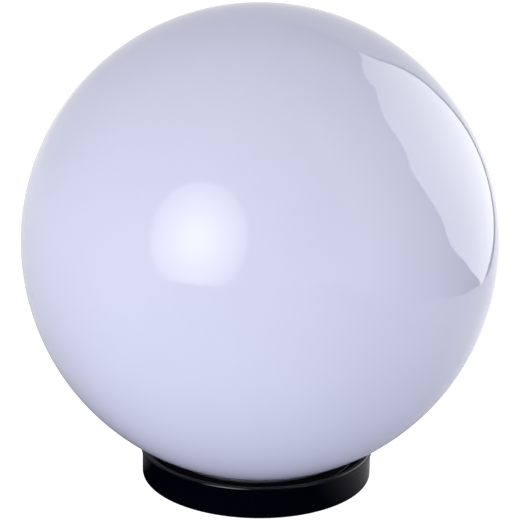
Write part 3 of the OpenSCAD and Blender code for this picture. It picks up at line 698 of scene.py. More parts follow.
def disc(radius, sides=16):
    """Points of a round section."""
    return [Vector((radius * math.cos(FULL_TURN * i / sides), radius * math.sin(FULL_TURN * i / sides)))
            for i in range(sides)]


def swept(name, material, path, section, across=(0, 1, 0)):
    """Sweeps a section along a path, keeps its first axis as near to across as it can, and closes
    the ends."""
    form = bmesh.new()
    path = [Vector(point) for point in path]
    side = Vector(across)
    rings = []
    for i, here in enumerate(path):
        along = (path[min(i + 1, len(path) - 1)] - path[max(i - 1, 0)]).normalized()
        side = (side - along * side.dot(along)).normalized()
        up = along.cross(side)
        rings.append([form.verts.new(here + side * a + up * b) for a, b in section])
    for near, far in zip(rings, rings[1:]):
        for k in range(len(section)):
            form.faces.new((near[k - 1], near[k], far[k], far[k - 1]))
    form.faces.new(rings[0])
    form.faces.new(rings[-1])
    bmesh.ops.recalc_face_normals(form, faces=form.faces)
    mesh = bpy.data.meshes.new(name)
    form.to_mesh(mesh)
    form.free()
    mesh.materials.append(material)
    smooth(mesh)
    return new_piece(name, mesh)


def bent_strip(name, material, corners, width, thickness):
    """A strip bent in the upright plane through the X axis; each corner is x, height and bend."""
    path = [(point.x, 0, point.y) for point in outline(corners, steps=5)]
    return swept(name, material, path, oblong(width, thickness, 0.12 * MM))


def curved(start, near_start, near_end, end, steps=28):
    """Points of a smooth curve from start to end, drawn towards two handles."""
    points = []
    for i in range(steps + 1):
        t = i / steps
        points.append(start * (1 - t) ** 3 + near_start * 3 * t * (1 - t) ** 2
                      + near_end * 3 * t * t * (1 - t) + end * t ** 3)
    return points


def screw(name, material, shank, length, head, head_height, cross, pitch=0.7 * MM):
    """A screw that points down from the origin, with a cross recess or a slot in its head."""
    if cross:
        crown = [(head, 0, 0.15 * MM), (head, 0.35 * head_height, 0.3 * MM),
                 (0.72 * head, 0.86 * head_height, 0.6 * MM), (0.3 * head, head_height, 0),
                 (0, head_height, 0)]
    else:
        crown = [(head, 0, 0.15 * MM), (head, head_height, 0.3 * MM), (0, head_height, 0)]
    steps = max(8, int(length / pitch * 8))
    depth = 0.09 * shank
    below = [Vector((0, -length)), Vector((0.75 * shank, -length))]
    thread = [Vector((shank - depth, -length + 0.4 * MM + (length - 0.8 * MM) * k / steps))
              for k in range(steps + 1)]
    above = [Vector((shank, -0.1 * MM)), Vector((shank, 0))]
    points = below + thread + above + outline([(0, 0, 0), *crown], steps=4)[1:]
    marks = [0.0] * len(below) + [1.0] * len(thread)
    marks += [0.0] * (len(points) - len(marks))
    piece = turned(name, material, points, segments=48, closed=False, marks={"thread": marks},
                   thread_pitch=pitch, thread_depth=depth)
    low = head_height * (0.35 if cross else 0.5)
    arm, half = (0.62 * head, 0.11 * head) if cross else (1.2 * head, 0.13 * head)
    blades = [block("blade", (-arm, -half, low), (arm, half, 2 * head_height), 0.03 * MM, 1, material)]
    if cross:
        blades.append(
            block("blade", (-half, -arm, low), (half, arm, 2 * head_height), 0.03 * MM, 1, material))
    return carve(piece, *blades)


def joined(name, *pieces):
    """One piece made of several, each keeping its material."""
    form = bmesh.new()
    mesh = bpy.data.meshes.new(name)
    materials = []
    for piece in pieces:
        first = len(form.faces)
        form.from_mesh(piece.data)
        form.faces.ensure_lookup_table()
        for face in form.faces[first:]:
            material = piece.data.materials[face.material_index] if piece.data.materials else None
            if material not in materials:
                materials.append(material)
            face.material_index = materials.index(material)
    form.to_mesh(mesh)
    form.free()
    for material in materials:
        mesh.materials.append(material)
    for piece in pieces:
        bpy.data.objects.remove(piece)
    return new_piece(name, mesh)


class BALL_OT_globe(bpy.types.Operator):
    """Makes the opal globe with its neck and lugs"""

    bl_idname = "ball_light.globe"
    bl_label = "Globe"

    def execute(self, context):
        sizes, _, _ = settings()
        radius, wall, neck = sizes.radius, sizes.wall, sizes.neck_radius
        top = height("globe", 1)
        centre = top - radius
        end = height("globe", 0)
        bore = neck - sizes.neck_wall
        fillet = 2.6 * MM
        below = math.radians(90)
        meet_out = math.acos((neck + 2 * fillet) / radius)
        meet_in = math.acos(bore / (radius - wall))
        points = arc(centre, radius - wall, below, -meet_in, 72)
        points[0].x = 0
        neck_top = centre - math.sqrt(radius ** 2 - neck ** 2)
        points += [
            Vector((bore, end + 0.5 * MM)), Vector((bore + 0.15 * MM, end + 0.15 * MM)),
            Vector((bore + 0.5 * MM, end)), Vector((neck - 0.5 * MM, end)),
            Vector((neck - 0.15 * MM, end + 0.15 * MM)), Vector((neck, end + 0.5 * MM))]
        lug_low, lug_high = end + 2.6 * MM, end + 5.2 * MM
        lug = [0.0] * len(points)
        steps = [(lug_low, 0), (lug_low, 0.85), (lug_low + 0.4 * MM, 1),
                 (lug_high - 0.4 * MM, 1), (lug_high, 0.85), (lug_high, 0)]
        points += [Vector((neck, z)) for z, _ in steps]
        lug += [share * sizes.lug_reach for _, share in steps]
        corner = [
            Vector((neck, neck_top - fillet)),
            Vector((neck + 0.3 * fillet, neck_top - 0.3 * fillet)),
            Vector((neck + fillet, neck_top - 0.02 * fillet))]
        points += corner
        points += arc(centre, radius, -meet_out, below, 150)
        points[-1].x = 0
        lug += [0.0] * (len(points) - len(lug))
        piece = turned(
            "opal_globe", opal_acrylic(), points, segments=240, closed=False, marks={"lug": lug},
            lug_count=3, lug_angle=sizes.lug_angle, lug_turn=0.0)
        settle(piece, "globe", "opal_acrylic", "globe")
        return {"FINISHED"}


class BALL_OT_base(bpy.types.Operator):
    """Makes the black base with its bayonet ring, ribs, bosses and holes"""

    bl_idname = "ball_light.base"
    bl_label = "Base"

    def execute(self, context):
        globe, sizes, _ = settings()
        foot = sizes.foot_radius
        top = height("base_shell", 1)
        lip = reach("base_shell")
        low = height("base_gasket", 1)
        deck = height("lampholder_body", 0)
        rim = sizes.rim_height
        ring_in = sizes.ring_radius
        ring_out = reach("neck_seal") + 0.1 * MM
        ring_top = height("neck_seal", 0) - 0.1 * MM
        lips = ring_top - 2.5 * MM
        inner = foot - sizes.wall
        profile = outline([
            (0, low, 0), (inner, low, 0.2 * MM), (inner, 0, 0.2 * MM), (foot, 0, 0.6 * MM),
            (foot, top - rim - 1.6 * MM, 0.8 * MM), (lip, top - rim - 0.6 * MM, 0.6 * MM),
            (lip, top, 2.2 * MM), (inner, top - 0.35 * rim, 0.5 * MM),
            (inner, deck, 0.8 * MM), (ring_out, deck, 0.5 * MM),
            (ring_out, ring_top, 0.4 * MM), (ring_in, ring_top, 0.2 * MM)], hold=0.2 * MM)
        marks = [0.0] * len(profile)
        reach_in = globe.neck_radius + 0.6 * MM - ring_in
        for share, z in ((1, ring_top), (1, lips), (0, lips)):
            profile.append(Vector((ring_in, z)))
            marks.append(share * reach_in)
        for point in ((ring_in, deck + 0.3 * MM), (ring_in - 0.3 * MM, deck), (0, deck)):
            profile.append(Vector(point))
            marks.append(0.0)
        black = gloss_black_abs()
        shell = turned("base_shell_moulding", black, profile, segments=240, closed=False,
                       marks={"lug": marks}, lug_count=3, lug_angle=math.radians(90),
                       lug_turn=math.radians(60))
        rib = block("rib", (ring_out - 0.1 * MM, -0.8 * MM, deck - 0.1 * MM),
                    (inner + 0.1 * MM, 0.8 * MM, lips), 0.2 * MM)
        ribs = repeated("ribs", rib, round_axis(0, 0, sizes.ribs, 180 / sizes.ribs), black)
        stop = block("stop", (globe.neck_radius + 1.2 * MM, -1.3 * MM, deck - 0.1 * MM),
                     (ring_in + 0.1 * MM, 1.3 * MM, lips + 0.1 * MM), 0.2 * MM)
        stops = repeated("stops", stop, round_axis(0, 0, 3, 16.5) + round_axis(0, 0, 3, -44.5), black)
        pitch = sizes.fixing_pitch / 2
        corners = [(x * pitch, y * pitch, 0, 0) for x in (-1, 1) for y in (-1, 1)]
        boss = rod("boss", 5 * MM, 0, 6 * MM, 0.5 * MM)
        bosses = repeated("bosses", boss, corners, black)
        ears = [(0, y * 24 * MM, 0, 0) for y in (-1, 1)]
        ear = rod("ear_boss", 4.5 * MM, low - 1 * MM, low + 0.1 * MM, 0.3 * MM)
        ears = repeated("ear_bosses", ear, ears, black)
        carve(shell, ribs, stops, bosses, ears, operation="UNION")
        hole = rod("hole", 2.25 * MM, -1 * MM, 7 * MM)
        inlet = placed(rod("inlet", 8 * MM, 0, 5 * MM, material=black, segments=96), x=-32 * MM)
        carve(shell, repeated("holes", hole, corners, black), inlet)
        settle(shell, "base", "black_plastic", "base_shell")
        return {"FINISHED"}


class BALL_OT_rubber(bpy.types.Operator):
    """Makes the neck seal, the gasket under the base and the cable grommet"""

    bl_idname = "ball_light.rubber"
    bl_label = "Rubber parts"

    def execute(self, context):
        globe, _, _ = settings()
        seal_in, seal_out = globe.neck_radius + 0.3 * MM, reach("neck_seal")
        seal_low = height("neck_seal", 0)
        lip = seal_in + 1.5 * MM
        flange, crest = seal_low + 1.1 * MM, seal_low + 1.7 * MM
        seal = turned("neck_seal_ring", black_silicone(), outline([
            (seal_in, seal_low, 0.3 * MM), (seal_out, seal_low, 0.3 * MM), (seal_out, flange, 0.4 * MM),
            (lip, flange + 0.2 * MM, 0.3 * MM), (lip - 0.3 * MM, crest, 0.3 * MM),
            (seal_in, crest, 0.3 * MM)]), segments=192)
        settle(seal, "seal", "silicone_rubber", "neck_seal")
        rubber = black_rubber()
        outer, thick = reach("base_gasket"), height("base_gasket", 1)
        groove = 0.35 * MM
        width = 8.8 * MM
        corners = [(outer - width, 0, 0.2 * MM)]
        for k in range(3):
            near = outer - width * (1 - (k + 0.62) / 3.6)
            corners += [(near, 0, 0.1 * MM), (near + groove, groove, 0.1 * MM),
                        (near + 3 * groove, groove, 0.1 * MM), (near + 4 * groove, 0, 0.1 * MM)]
        corners += [(outer, 0, 0.2 * MM), (outer, thick, 0.2 * MM), (outer - width, thick, 0.2 * MM)]
        gasket = turned("base_gasket_ring", rubber, outline(corners, steps=3), segments=160)
        settle(gasket, "base", "black_rubber", "base_gasket")
        low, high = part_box("cable_grommet")
        flange, bore = (high.y - low.y) / 2, 4 * MM
        groove, deck = flange - 2 * MM, height("lampholder_body", 0)
        foot = height("base_gasket", 1)
        grommet = turned("cable_grommet_sleeve", rubber, outline([
            (bore, low.z, 0.3 * MM), (flange, low.z, 0.5 * MM), (flange, foot, 0.3 * MM),
            (groove, foot, 0.15 * MM), (groove, deck, 0.15 * MM), (flange, deck, 0.3 * MM),
            (flange - 0.4 * MM, deck + 1.2 * MM, 0.5 * MM), (bore + 1.8 * MM, deck + 1.6 * MM, 0.6 * MM),
            (bore + 1.1 * MM, high.z, 0.4 * MM), (bore, high.z, 0.2 * MM),
            (bore, low.z + 4.2 * MM, 0.2 * MM), (bore + 0.5 * MM, low.z + 3.7 * MM, 0.2 * MM),
            (bore, low.z + 3.2 * MM, 0.2 * MM)]), segments=96)
        placed(grommet, x=(low.x + high.x) / 2)
        settle(grommet, "base", "black_rubber", "cable_grommet")
        return {"FINISHED"}


class BALL_OT_terminal_block(bpy.types.Operator):
    """Makes the two-pole terminal block, its brass clamps and its screws"""

    bl_idname = "ball_light.terminal_block"
    bl_label = "Terminal block"

    def execute(self, context):
        low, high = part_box("terminal_block")
        clamps_low, clamps_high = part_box("terminal_block_clamps")
        polyamide, brass, zinc = natural_polyamide(), turned_brass(), zinc_plated_steel()
        pole = 5 * MM
        middle = (low.x + high.x) / 2
        pole_z = (clamps_low.z + clamps_high.z) / 2
        step = height("terminal_block_fixing_screw", 1) - 1.6 * MM
        wells = [low.x + share * (high.x - low.x) for share in (0.27, 0.73)]
        body = block("terminal_block_body", low, (high.x, high.y, step), 0.5 * MM, 3, polyamide)
        towers = [block("tower", (low.x + 1 * MM, y * pole - 3.8 * MM, low.z + 1 * MM),
                        (high.x - 1 * MM, y * pole + 3.8 * MM, high.z), 0.4 * MM, 3, polyamide)
                  for y in (-1, 1)]
        carve(body, *towers, operation="UNION")
        well = rod("well", 2.2 * MM, pole_z, high.z + 2 * MM, material=polyamide)
        mouth = turned("mouth", polyamide, [(0, 0), (2.2 * MM, 0), (3.0 * MM, 0.8 * MM), (0, 0.8 * MM)],
                       segments=48, closed=False)
        spots = [(x, y * pole, 0, 0) for x in wells for y in (-1, 1)]
        wells_cut = repeated("wells", well, spots, polyamide)
        mouths = repeated("mouths", mouth, [(x, y, high.z - 0.4 * MM, 0) for x, y, _, _ in spots], polyamide)
        bore = rod("bore", 2.5 * MM, low.x - 1 * MM, high.x + 1 * MM, material=polyamide)
        placed(bore, tilt=90)
        bores = repeated("bores", bore, [(0, y * pole, pole_z, 0) for y in (-1, 1)], polyamide)
        seat = placed(rod("seat", 2.3 * MM, step, high.z, material=polyamide), x=middle)
        shaft = placed(rod("shaft", 1.6 * MM, 0, high.z, material=polyamide), x=middle)
        carve(body, wells_cut, mouths, bores, seat, shaft)
        settle(body, "base", "terminal_polyamide", "terminal_block")
        inner, outer, chamfer = 1.6 * MM, 2.4 * MM, 0.2 * MM
        tube = turned("clamp", brass, outline([
            (inner, clamps_low.x, chamfer), (outer, clamps_low.x, chamfer),
            (outer, clamps_high.x, chamfer), (inner, clamps_high.x, chamfer)], steps=2), segments=64)
        placed(tube, tilt=90)
        tubes = repeated("terminal_clamps", tube, [(0, y * pole, pole_z, 0) for y in (-1, 1)], brass)
        hole = rod("hole", 1.3 * MM, pole_z, pole_z + 4 * MM, material=brass)
        carve(tubes, repeated("holes", hole, [(x, y, 0, 0) for x, y, _, _ in spots], brass))
        settle(tubes, "base", "brass", "terminal_block_clamps")
        cheese = screw("cheese", zinc, 1.25 * MM, 2.2 * MM, 1.9 * MM, 1.6 * MM, False, 0.5 * MM)
        turns = (20, 75, 140, 50)
        screws = repeated("terminal_clamp_screws", cheese, [
            (x, y, pole_z + 3 * MM, turn) for (x, y, _, _), turn in zip(spots, turns)], zinc)
        settle(screws, "base", "zinc_steel", "terminal_block_screws")
        length = step - height("terminal_block_fixing_screw", 0)
        fixing = screw(
            "terminal_fixing_screw", zinc, 1.5 * MM, length, 2.2 * MM, 1.6 * MM, True, 1.1 * MM)
        placed(fixing, x=middle, z=step, turn=33)
        settle(fixing, "base", "zinc_steel", "terminal_block_fixing_screw")
        return {"FINISHED"}


class BALL_OT_lampholder(bpy.types.Operator):
    """Makes the porcelain lampholder with its ears and fixing screws"""

    bl_idname = "ball_light.lampholder"
    bl_label = "Lampholder"

    def execute(self, context):
        porcelain, zinc = glazed_porcelain(), bpy.data.materials["zinc_plated_steel"]
        low, top = height("lampholder_body", 0), height("lampholder_body", 1)
        rim, foot, mouth = reach("lampholder_body"), 20 * MM, 15 * MM
        chamber = height("contact_foot", 0)
        body = turned("lampholder_porcelain", porcelain, outline([
            (0, low, 0), (foot, low, 0.8 * MM), (foot, chamber, 1.5 * MM),
            (rim - 0.8 * MM, chamber + 2.5 * MM, 1.5 * MM),
            (rim - 0.8 * MM, top - 5 * MM, 0.4 * MM), (rim, top - 4.2 * MM, 0.5 * MM), (rim, top, 1.2 * MM),
            (mouth, top, 0.9 * MM), (mouth, chamber, 0.8 * MM), (0, chamber, 0)]), segments=144, closed=False)
        ear_y, ear_r, ear_top = 24 * MM, 5 * MM, low + 5 * MM
        slab = block("slab", (-ear_r, -ear_y, low), (ear_r, ear_y, ear_top), 0.7 * MM, 4, porcelain)
        ear = rod("ear", ear_r, low, ear_top, 0.7 * MM, porcelain)
        ears = repeated("ears", ear, [(0, y * ear_y, 0, 0) for y in (-1, 1)], porcelain)
        carve(body, slab, ears, operation="UNION")
        hole = rod("hole", 2.2 * MM, low - 1 * MM, ear_top + 1 * MM, material=porcelain)
        cuts = [repeated("ear_holes", hole, [(0, y * ear_y, 0, 0) for y in (-1, 1)], porcelain)]
        strips_low = height("lampholder_terminals", 0)
        for turn in (42, -42):
            recess = block("recess", (16.5 * MM, -5.5 * MM, low + 1 * MM), (30 * MM, 5.5 * MM, low + 12 * MM),
                           0.8 * MM, 3, porcelain)
            riser = block("riser", (13.1 * MM, -2.1 * MM, strips_low - 0.1 * MM),
                          (14.1 * MM, 2.1 * MM, chamber + 3 * MM), 0, 1, porcelain)
            sole = block("sole", (13.15 * MM, -2.15 * MM, strips_low - 0.12 * MM),
                         (17.5 * MM, 2.15 * MM, strips_low + 0.9 * MM), 0, 1, porcelain)
            bore = placed(rod("bore", 1.6 * MM, 10.5 * MM, 17 * MM, material=porcelain), tilt=90)
            placed(bore, z=strips_low + 4 * MM)
            cuts += [placed(part, turn=turn) for part in (recess, riser, sole, bore)]
        carve(body, *cuts)
        settle(body, "base", "porcelain", "lampholder_body")
        length = height("lampholder_fixing_screws", 1) - height("lampholder_fixing_screws", 0) - 2.6 * MM
        pan = screw("pan", zinc, 1.9 * MM, length, 3.8 * MM, 2.6 * MM, True, 1.4 * MM)
        screws = repeated(
            "lampholder_ear_screws", pan, [(0, ear_y, ear_top, 25), (0, -ear_y, ear_top, 62)], zinc)
        settle(screws, "base", "zinc_steel", "lampholder_fixing_screws")
        return {"FINISHED"}


class BALL_OT_contacts(bpy.types.Operator):
    """Makes the lampholder's threaded shell, wire terminals, terminal screws and centre contact"""

    bl_idname = "ball_light.contacts"
    bl_label = "Contacts"

    def execute(self, context):
        nickel, brass, bronze = nickelled_brass(), bpy.data.materials["turned_brass"], phosphor_bronze()
        zinc = bpy.data.materials["zinc_plated_steel"]
        pitch, half_thread, middle_r = 3.63 * MM, 0.5 * MM, 13 * MM
        low, top = height("lampholder_shell", 0), height("lampholder_shell", 1)
        turns = int((top - low) / pitch)
        per_turn = 16
        inner, outer = [], []
        for k in range(turns * per_turn + 1):
            fade = min(1, k / (per_turn / 2), (turns * per_turn - k) / (per_turn / 2))
            r, z = middle_r + half_thread * (1 - fade), low + k * pitch / per_turn
            inner.append((r, z, half_thread * fade))
            outer.append((r + 0.5 * MM, z, half_thread * fade))
        lip = reach("lampholder_shell")
        edge = [(lip - 0.1 * MM, top - 0.5 * MM, 0), (lip, top - 0.25 * MM, 0), (lip - 0.1 * MM, top, 0),
                (middle_r + 0.7 * MM, top, 0), (middle_r + half_thread, top - 0.2 * MM, 0)]
        rows = outer + edge + inner[::-1]
        shell = turned(
            "lampholder_screw_shell", nickel, [(r, z) for r, z, _ in rows], segments=96,
            marks={"thread": [depth for _, _, depth in rows]}, thread_pitch=pitch, thread_depth=1.0)
        settle(shell, "base", "nickel_brass", "lampholder_shell")

        sole = height("lampholder_terminals", 0)
        floor = height("contact_foot", 0)
        strips = []
        for turn, end in ((42, low), (-42, floor)):
            strip = bent_strip("strip", brass, [
                (13.6 * MM, end, 0), (13.6 * MM, sole + 0.4 * MM, 0.8 * MM),
                (16.9 * MM, sole + 0.4 * MM, 0.8 * MM),
                (16.9 * MM, sole + 3 * MM, 0)], 4 * MM, 0.8 * MM)
            plate = block("plate", (16.5 * MM, -4.5 * MM, sole), (17.3 * MM, 4.5 * MM, sole + 8 * MM),
                          0.15 * MM, 2, brass)
            hole = placed(rod("hole", 1.55 * MM, 15 * MM, 19 * MM, material=brass), z=sole + 4 * MM, tilt=90)
            carve(plate, hole)
            strips += [placed(strip, turn=turn), placed(plate, turn=turn)]
        terminals = joined("lampholder_terminal_strips", *strips)
        settle(terminals, "base", "brass", "lampholder_terminals")
        cheese = screw("cheese", zinc, 1.5 * MM, 6 * MM, 3.2 * MM, 1.8 * MM, False, 0.6 * MM)
        placed(cheese, turn=35)
        placed(cheese, x=18.7 * MM, z=sole + 4 * MM, tilt=90)
        heads = repeated("terminal_screws", cheese, [(0, 0, 0, 42), (0, 0, 0, -42)], zinc)
        settle(heads, "base", "zinc_steel", "lampholder_terminal_screws")

        foot = bent_strip("foot", bronze, [
            (-13.9 * MM, floor + 0.25 * MM, 0), (-8.5 * MM, floor + 0.25 * MM, 0)], 6 * MM, 0.5 * MM)
        curl = bent_strip("curl", bronze, [
            (-11.2 * MM, floor + 0.35 * MM, 0), (-10.3 * MM, floor + 0.5 * MM, 0.6 * MM),
            (-9.55 * MM, floor + 1.05 * MM, 0)], 5.6 * MM, 0.4 * MM)
        rivet = turned("rivet", brass, outline([
            (0, floor + 0.4 * MM, 0), (1.3 * MM, floor + 0.4 * MM, 0),
            (1.3 * MM, floor + 0.75 * MM, 0.2 * MM),
            (0.7 * MM, floor + 0.98 * MM, 0.2 * MM), (0, floor + 0.98 * MM, 0)]), segments=40, closed=False)
        placed(rivet, x=-11.9 * MM)
        contact = joined("contact_strip_foot", foot, curl, rivet)
        settle(placed(contact, turn=138), "base", "bronze", "contact_foot")
        bend, nose = height("contact_tongue", 0), height("contact_tongue", 1)
        tongue = bent_strip("contact_strip_tongue", bronze, [
            (-9.5 * MM, bend + 0.3 * MM, 0), (-2.6 * MM, nose - 0.25 * MM, 1.2 * MM),
            (2.4 * MM, nose - 0.25 * MM, 1.2 * MM), (4.4 * MM, nose - 2.45 * MM, 0)], 6 * MM, 0.5 * MM)
        settle(placed(tongue, turn=138), "contact", "bronze", "contact_tongue")
        return {"FINISHED"}


class BALL_OT_leads(bpy.types.Operator):
    """Makes the two internal leads, stripped where they are clamped"""

    bl_idname = "ball_light.leads"
    bl_label = "Leads"

    def execute(self, context):
        copper = drawn_copper()
        colours = {"live": ("#4A2A1B", "#5C3624"), "neutral": ("#1B4486", "#245399")}
        block_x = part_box("terminal_block")[0].x
        clamps_low, clamps_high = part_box("terminal_block_clamps")
        pole_z = (clamps_low.z + clamps_high.z) / 2
        wire_z = height("lampholder_terminals", 0) + 6.3 * MM
        for name, side in (("live", -1), ("neutral", 1)):
            angle = math.radians(42)
            out = Vector((math.cos(angle), side * math.sin(angle), 0))
            across = Vector((-math.sin(angle), side * math.cos(angle), 0))

            def at_terminal(x, y, z):
                return out * x * MM + across * y * MM + Vector((0, 0, z))

            start = Vector((block_x, side * 5 * MM, pole_z))
            end = at_terminal(20.5, -4.6, wire_z)
            route = curved(start, start - Vector((5 * MM, 0, 0)), at_terminal(25, -7, wire_z + 2 * MM), end)
            sleeve = swept("sleeve", pvc_insulation(name + "_insulation", *colours[name]), route,
                           disc(1.2 * MM), (0, 0, 1))
            inward = (route[-1] - route[-3]).normalized()
            bare = curved(end - inward * 0.6 * MM, end + inward * 2.2 * MM, at_terminal(18, -4.2, wire_z),
                          at_terminal(18, -2.2, wire_z), 10)
            bare.append(at_terminal(18, 2.4, wire_z))
            hooked = swept("hooked", copper, bare, disc(0.7 * MM), (0, 0, 1))
            ends = [start - Vector((0.6 * MM, 0, 0)), start + Vector((11.2 * MM, 0, 0))]
            held = swept("held", copper, ends, disc(0.7 * MM), (0, 0, 1))
            lead = joined(name + "_wire", sleeve, hooked, held)
            settle(lead, "base", {"live": "brown", "neutral": "blue"}[name] + "_insulation", name + "_lead")
        return {"FINISHED"}


class BALL_OT_lamp_cap(bpy.types.Operator):
    """Makes the lamp's solder tip, glass insulator and threaded cap"""

    bl_idname = "ball_light.lamp_cap"
    bl_label = "Lamp cap"

    def execute(self, context):
        low = height("lamp_tip", 0)
        tip_r, stem_top = reach("lamp_tip"), height("lamp_tip", 1)
        tip = turned("lamp_solder_tip", tin_solder(), outline([
            (0, low, 0), (1.6 * MM, low + 0.05 * MM, 0.8 * MM), (3.4 * MM, low + 0.62 * MM, 0.8 * MM),
            (tip_r, low + 1.25 * MM, 0.25 * MM), (tip_r - 0.1 * MM, low + 1.5 * MM, 0.1 * MM),
            (2 * MM, low + 1.5 * MM, 0.1 * MM), (2 * MM, stem_top, 0.2 * MM), (0, stem_top, 0)]),
            segments=64, closed=False)
        settle(tip, "lamp_tip", "solder", "lamp_tip")
        bottom, top, wide = height("lamp_insulator", 0), height("lamp_insulator", 1), reach("lamp_insulator")
        cap_low = height("lamp_cap", 0)
        insulator = turned("lamp_glass_insulator", black_glass(), outline([
            (2.3 * MM, bottom, 0.3 * MM), (6.2 * MM, bottom, 0.6 * MM), (wide, cap_low - 0.2 * MM, 0.3 * MM),
            (wide, top, 0.2 * MM), (2.3 * MM, top, 0.2 * MM)]), segments=96)
        settle(insulator, "lamp", "black_glass", "lamp_insulator")
        pitch, half_thread, middle_r, per_turn, turns = 3.63 * MM, 0.5 * MM, 12.6 * MM, 16, 4
        cap_top = height("lamp_cap", 1)
        thread_low = cap_low + 1.6 * MM
        rows = [(9.5 * MM, cap_low + 0.05 * MM, 0, 0), (9.75 * MM, cap_low, 0, 0),
                (10.1 * MM, cap_low + 0.1 * MM, 0, 0), (11.4 * MM, cap_low + 0.5 * MM, 0, 0),
                (11.95 * MM, cap_low + 1.0 * MM, 0, 0)]
        for k in range(turns * per_turn + 1):
            fade = min(1, k / (per_turn / 2), (turns * per_turn - k) / (per_turn / 2))
            rows.append((middle_r - half_thread * (1 - fade), thread_low + k * pitch / per_turn,
                         half_thread * fade, 0))
        collar = middle_r + 0.2 * MM
        rise = rows[-1][1]
        rows += [(collar - 0.1 * MM, rise + 0.7 * MM, 0, 0), (collar, rise + 1 * MM, 0, 0)]
        rows += [(collar, cap_top - drop * MM, 0, dent) for drop, dent in (
            (3.2, 0), (3.1, -0.15 * MM), (2.9, -0.3 * MM), (2.5, -0.3 * MM), (2.3, -0.15 * MM), (2.2, 0))]
        bore = 11.2 * MM
        rows += [(collar, cap_top - 0.2 * MM, 0, 0), (collar - 0.2 * MM, cap_top, 0, 0),
                 (bore + 0.2 * MM, cap_top, 0, 0), (bore, cap_top - 0.2 * MM, 0, 0),
                 (bore, cap_low + 1.9 * MM, 0, 0)]
        marks = {"thread": [row[2] for row in rows], "lug": [row[3] for row in rows]}
        cap = turned(
            "lamp_screw_cap", bpy.data.materials["nickelled_brass"], [(r, z) for r, z, _, _ in rows],
            segments=180, marks=marks, thread_pitch=pitch, thread_depth=1.0,
            lug_count=12, lug_angle=math.radians(5), lug_turn=0.0)
        settle(cap, "lamp", "nickel_brass", "lamp_cap")
        return {"FINISHED"}


class BALL_OT_lamp_body(bpy.types.Operator):
    """Makes the lamp's moulded housing and its frosted bulb"""

    bl_idname = "ball_light.lamp_body"
    bl_label = "Lamp body"

    def execute(self, context):
        low, seam = height("lamp_housing", 0), height("lamp_housing", 1)
        seam_r, spigot_r, wall = reach("lamp_housing"), 11.1 * MM, 1.6 * MM
        flare_low = height("lamp_cap", 1) + 0.3 * MM
        waist, steps = 14.2 * MM, 28

        def flare(t, inset):
            r = waist + (seam_r - waist) * (1 - (1 - t) ** 1.7)
            return Vector((r - inset, flare_low + t * (seam - flare_low)))

        points = [Vector((spigot_r - 0.3 * MM, low)), Vector((spigot_r, low + 0.3 * MM)),
                  Vector((spigot_r, flare_low)), Vector((waist - 0.5 * MM, flare_low)),
                  Vector((waist - 0.15 * MM, flare_low + 0.1 * MM))]
        points += [flare(i / steps, 0) for i in range(1, steps)]
        edge = flare(0.985, 0)
        points += [edge, edge + Vector((-0.25 * MM, 0.1 * MM)), Vector((seam_r - 0.3 * MM, seam - 0.15 * MM)),
                   Vector((seam_r - 0.5 * MM, seam)), Vector((seam_r - wall, seam))]
        points += [flare(i / steps, wall) for i in range(steps - 1, 0, -1)]
        points += [Vector((spigot_r - wall, flare_low + 2 * MM)), Vector((spigot_r - wall, low))]
        housing = turned("lamp_housing_moulding", white_polycarbonate(), points, segments=160)
        settle(housing, "lamp", "white_polycarbonate", "lamp_housing")
        top, bottom, radius = height("lamp_bulb", 1), height("lamp_bulb", 0), reach("lamp_bulb")
        centre, thick = top - radius, 1.2 * MM
        spigot = seam_r - wall - 0.3 * MM
        sill = seam + 0.1 * MM
        start = math.asin((sill - centre) / radius)
        meet = -math.acos((spigot - thick) / (radius - thick))
        points = arc(centre, radius - thick, math.radians(90), meet, 40)
        points[0].x = 0
        points += [Vector((spigot - thick, bottom)), Vector((spigot - 0.2 * MM, bottom)),
                   Vector((spigot, bottom + 0.2 * MM)), Vector((spigot, sill)),
                   Vector((radius * math.cos(start) - 0.3 * MM, sill))]
        points += arc(centre, radius, start + 0.008, math.radians(90), 72)
        points[-1].x = 0
        bulb = turned("lamp_frosted_bulb", frosted_polycarbonate(), points, segments=160, closed=False)
        settle(bulb, "lamp", "frosted_polycarbonate", "lamp_bulb")
        return {"FINISHED"}


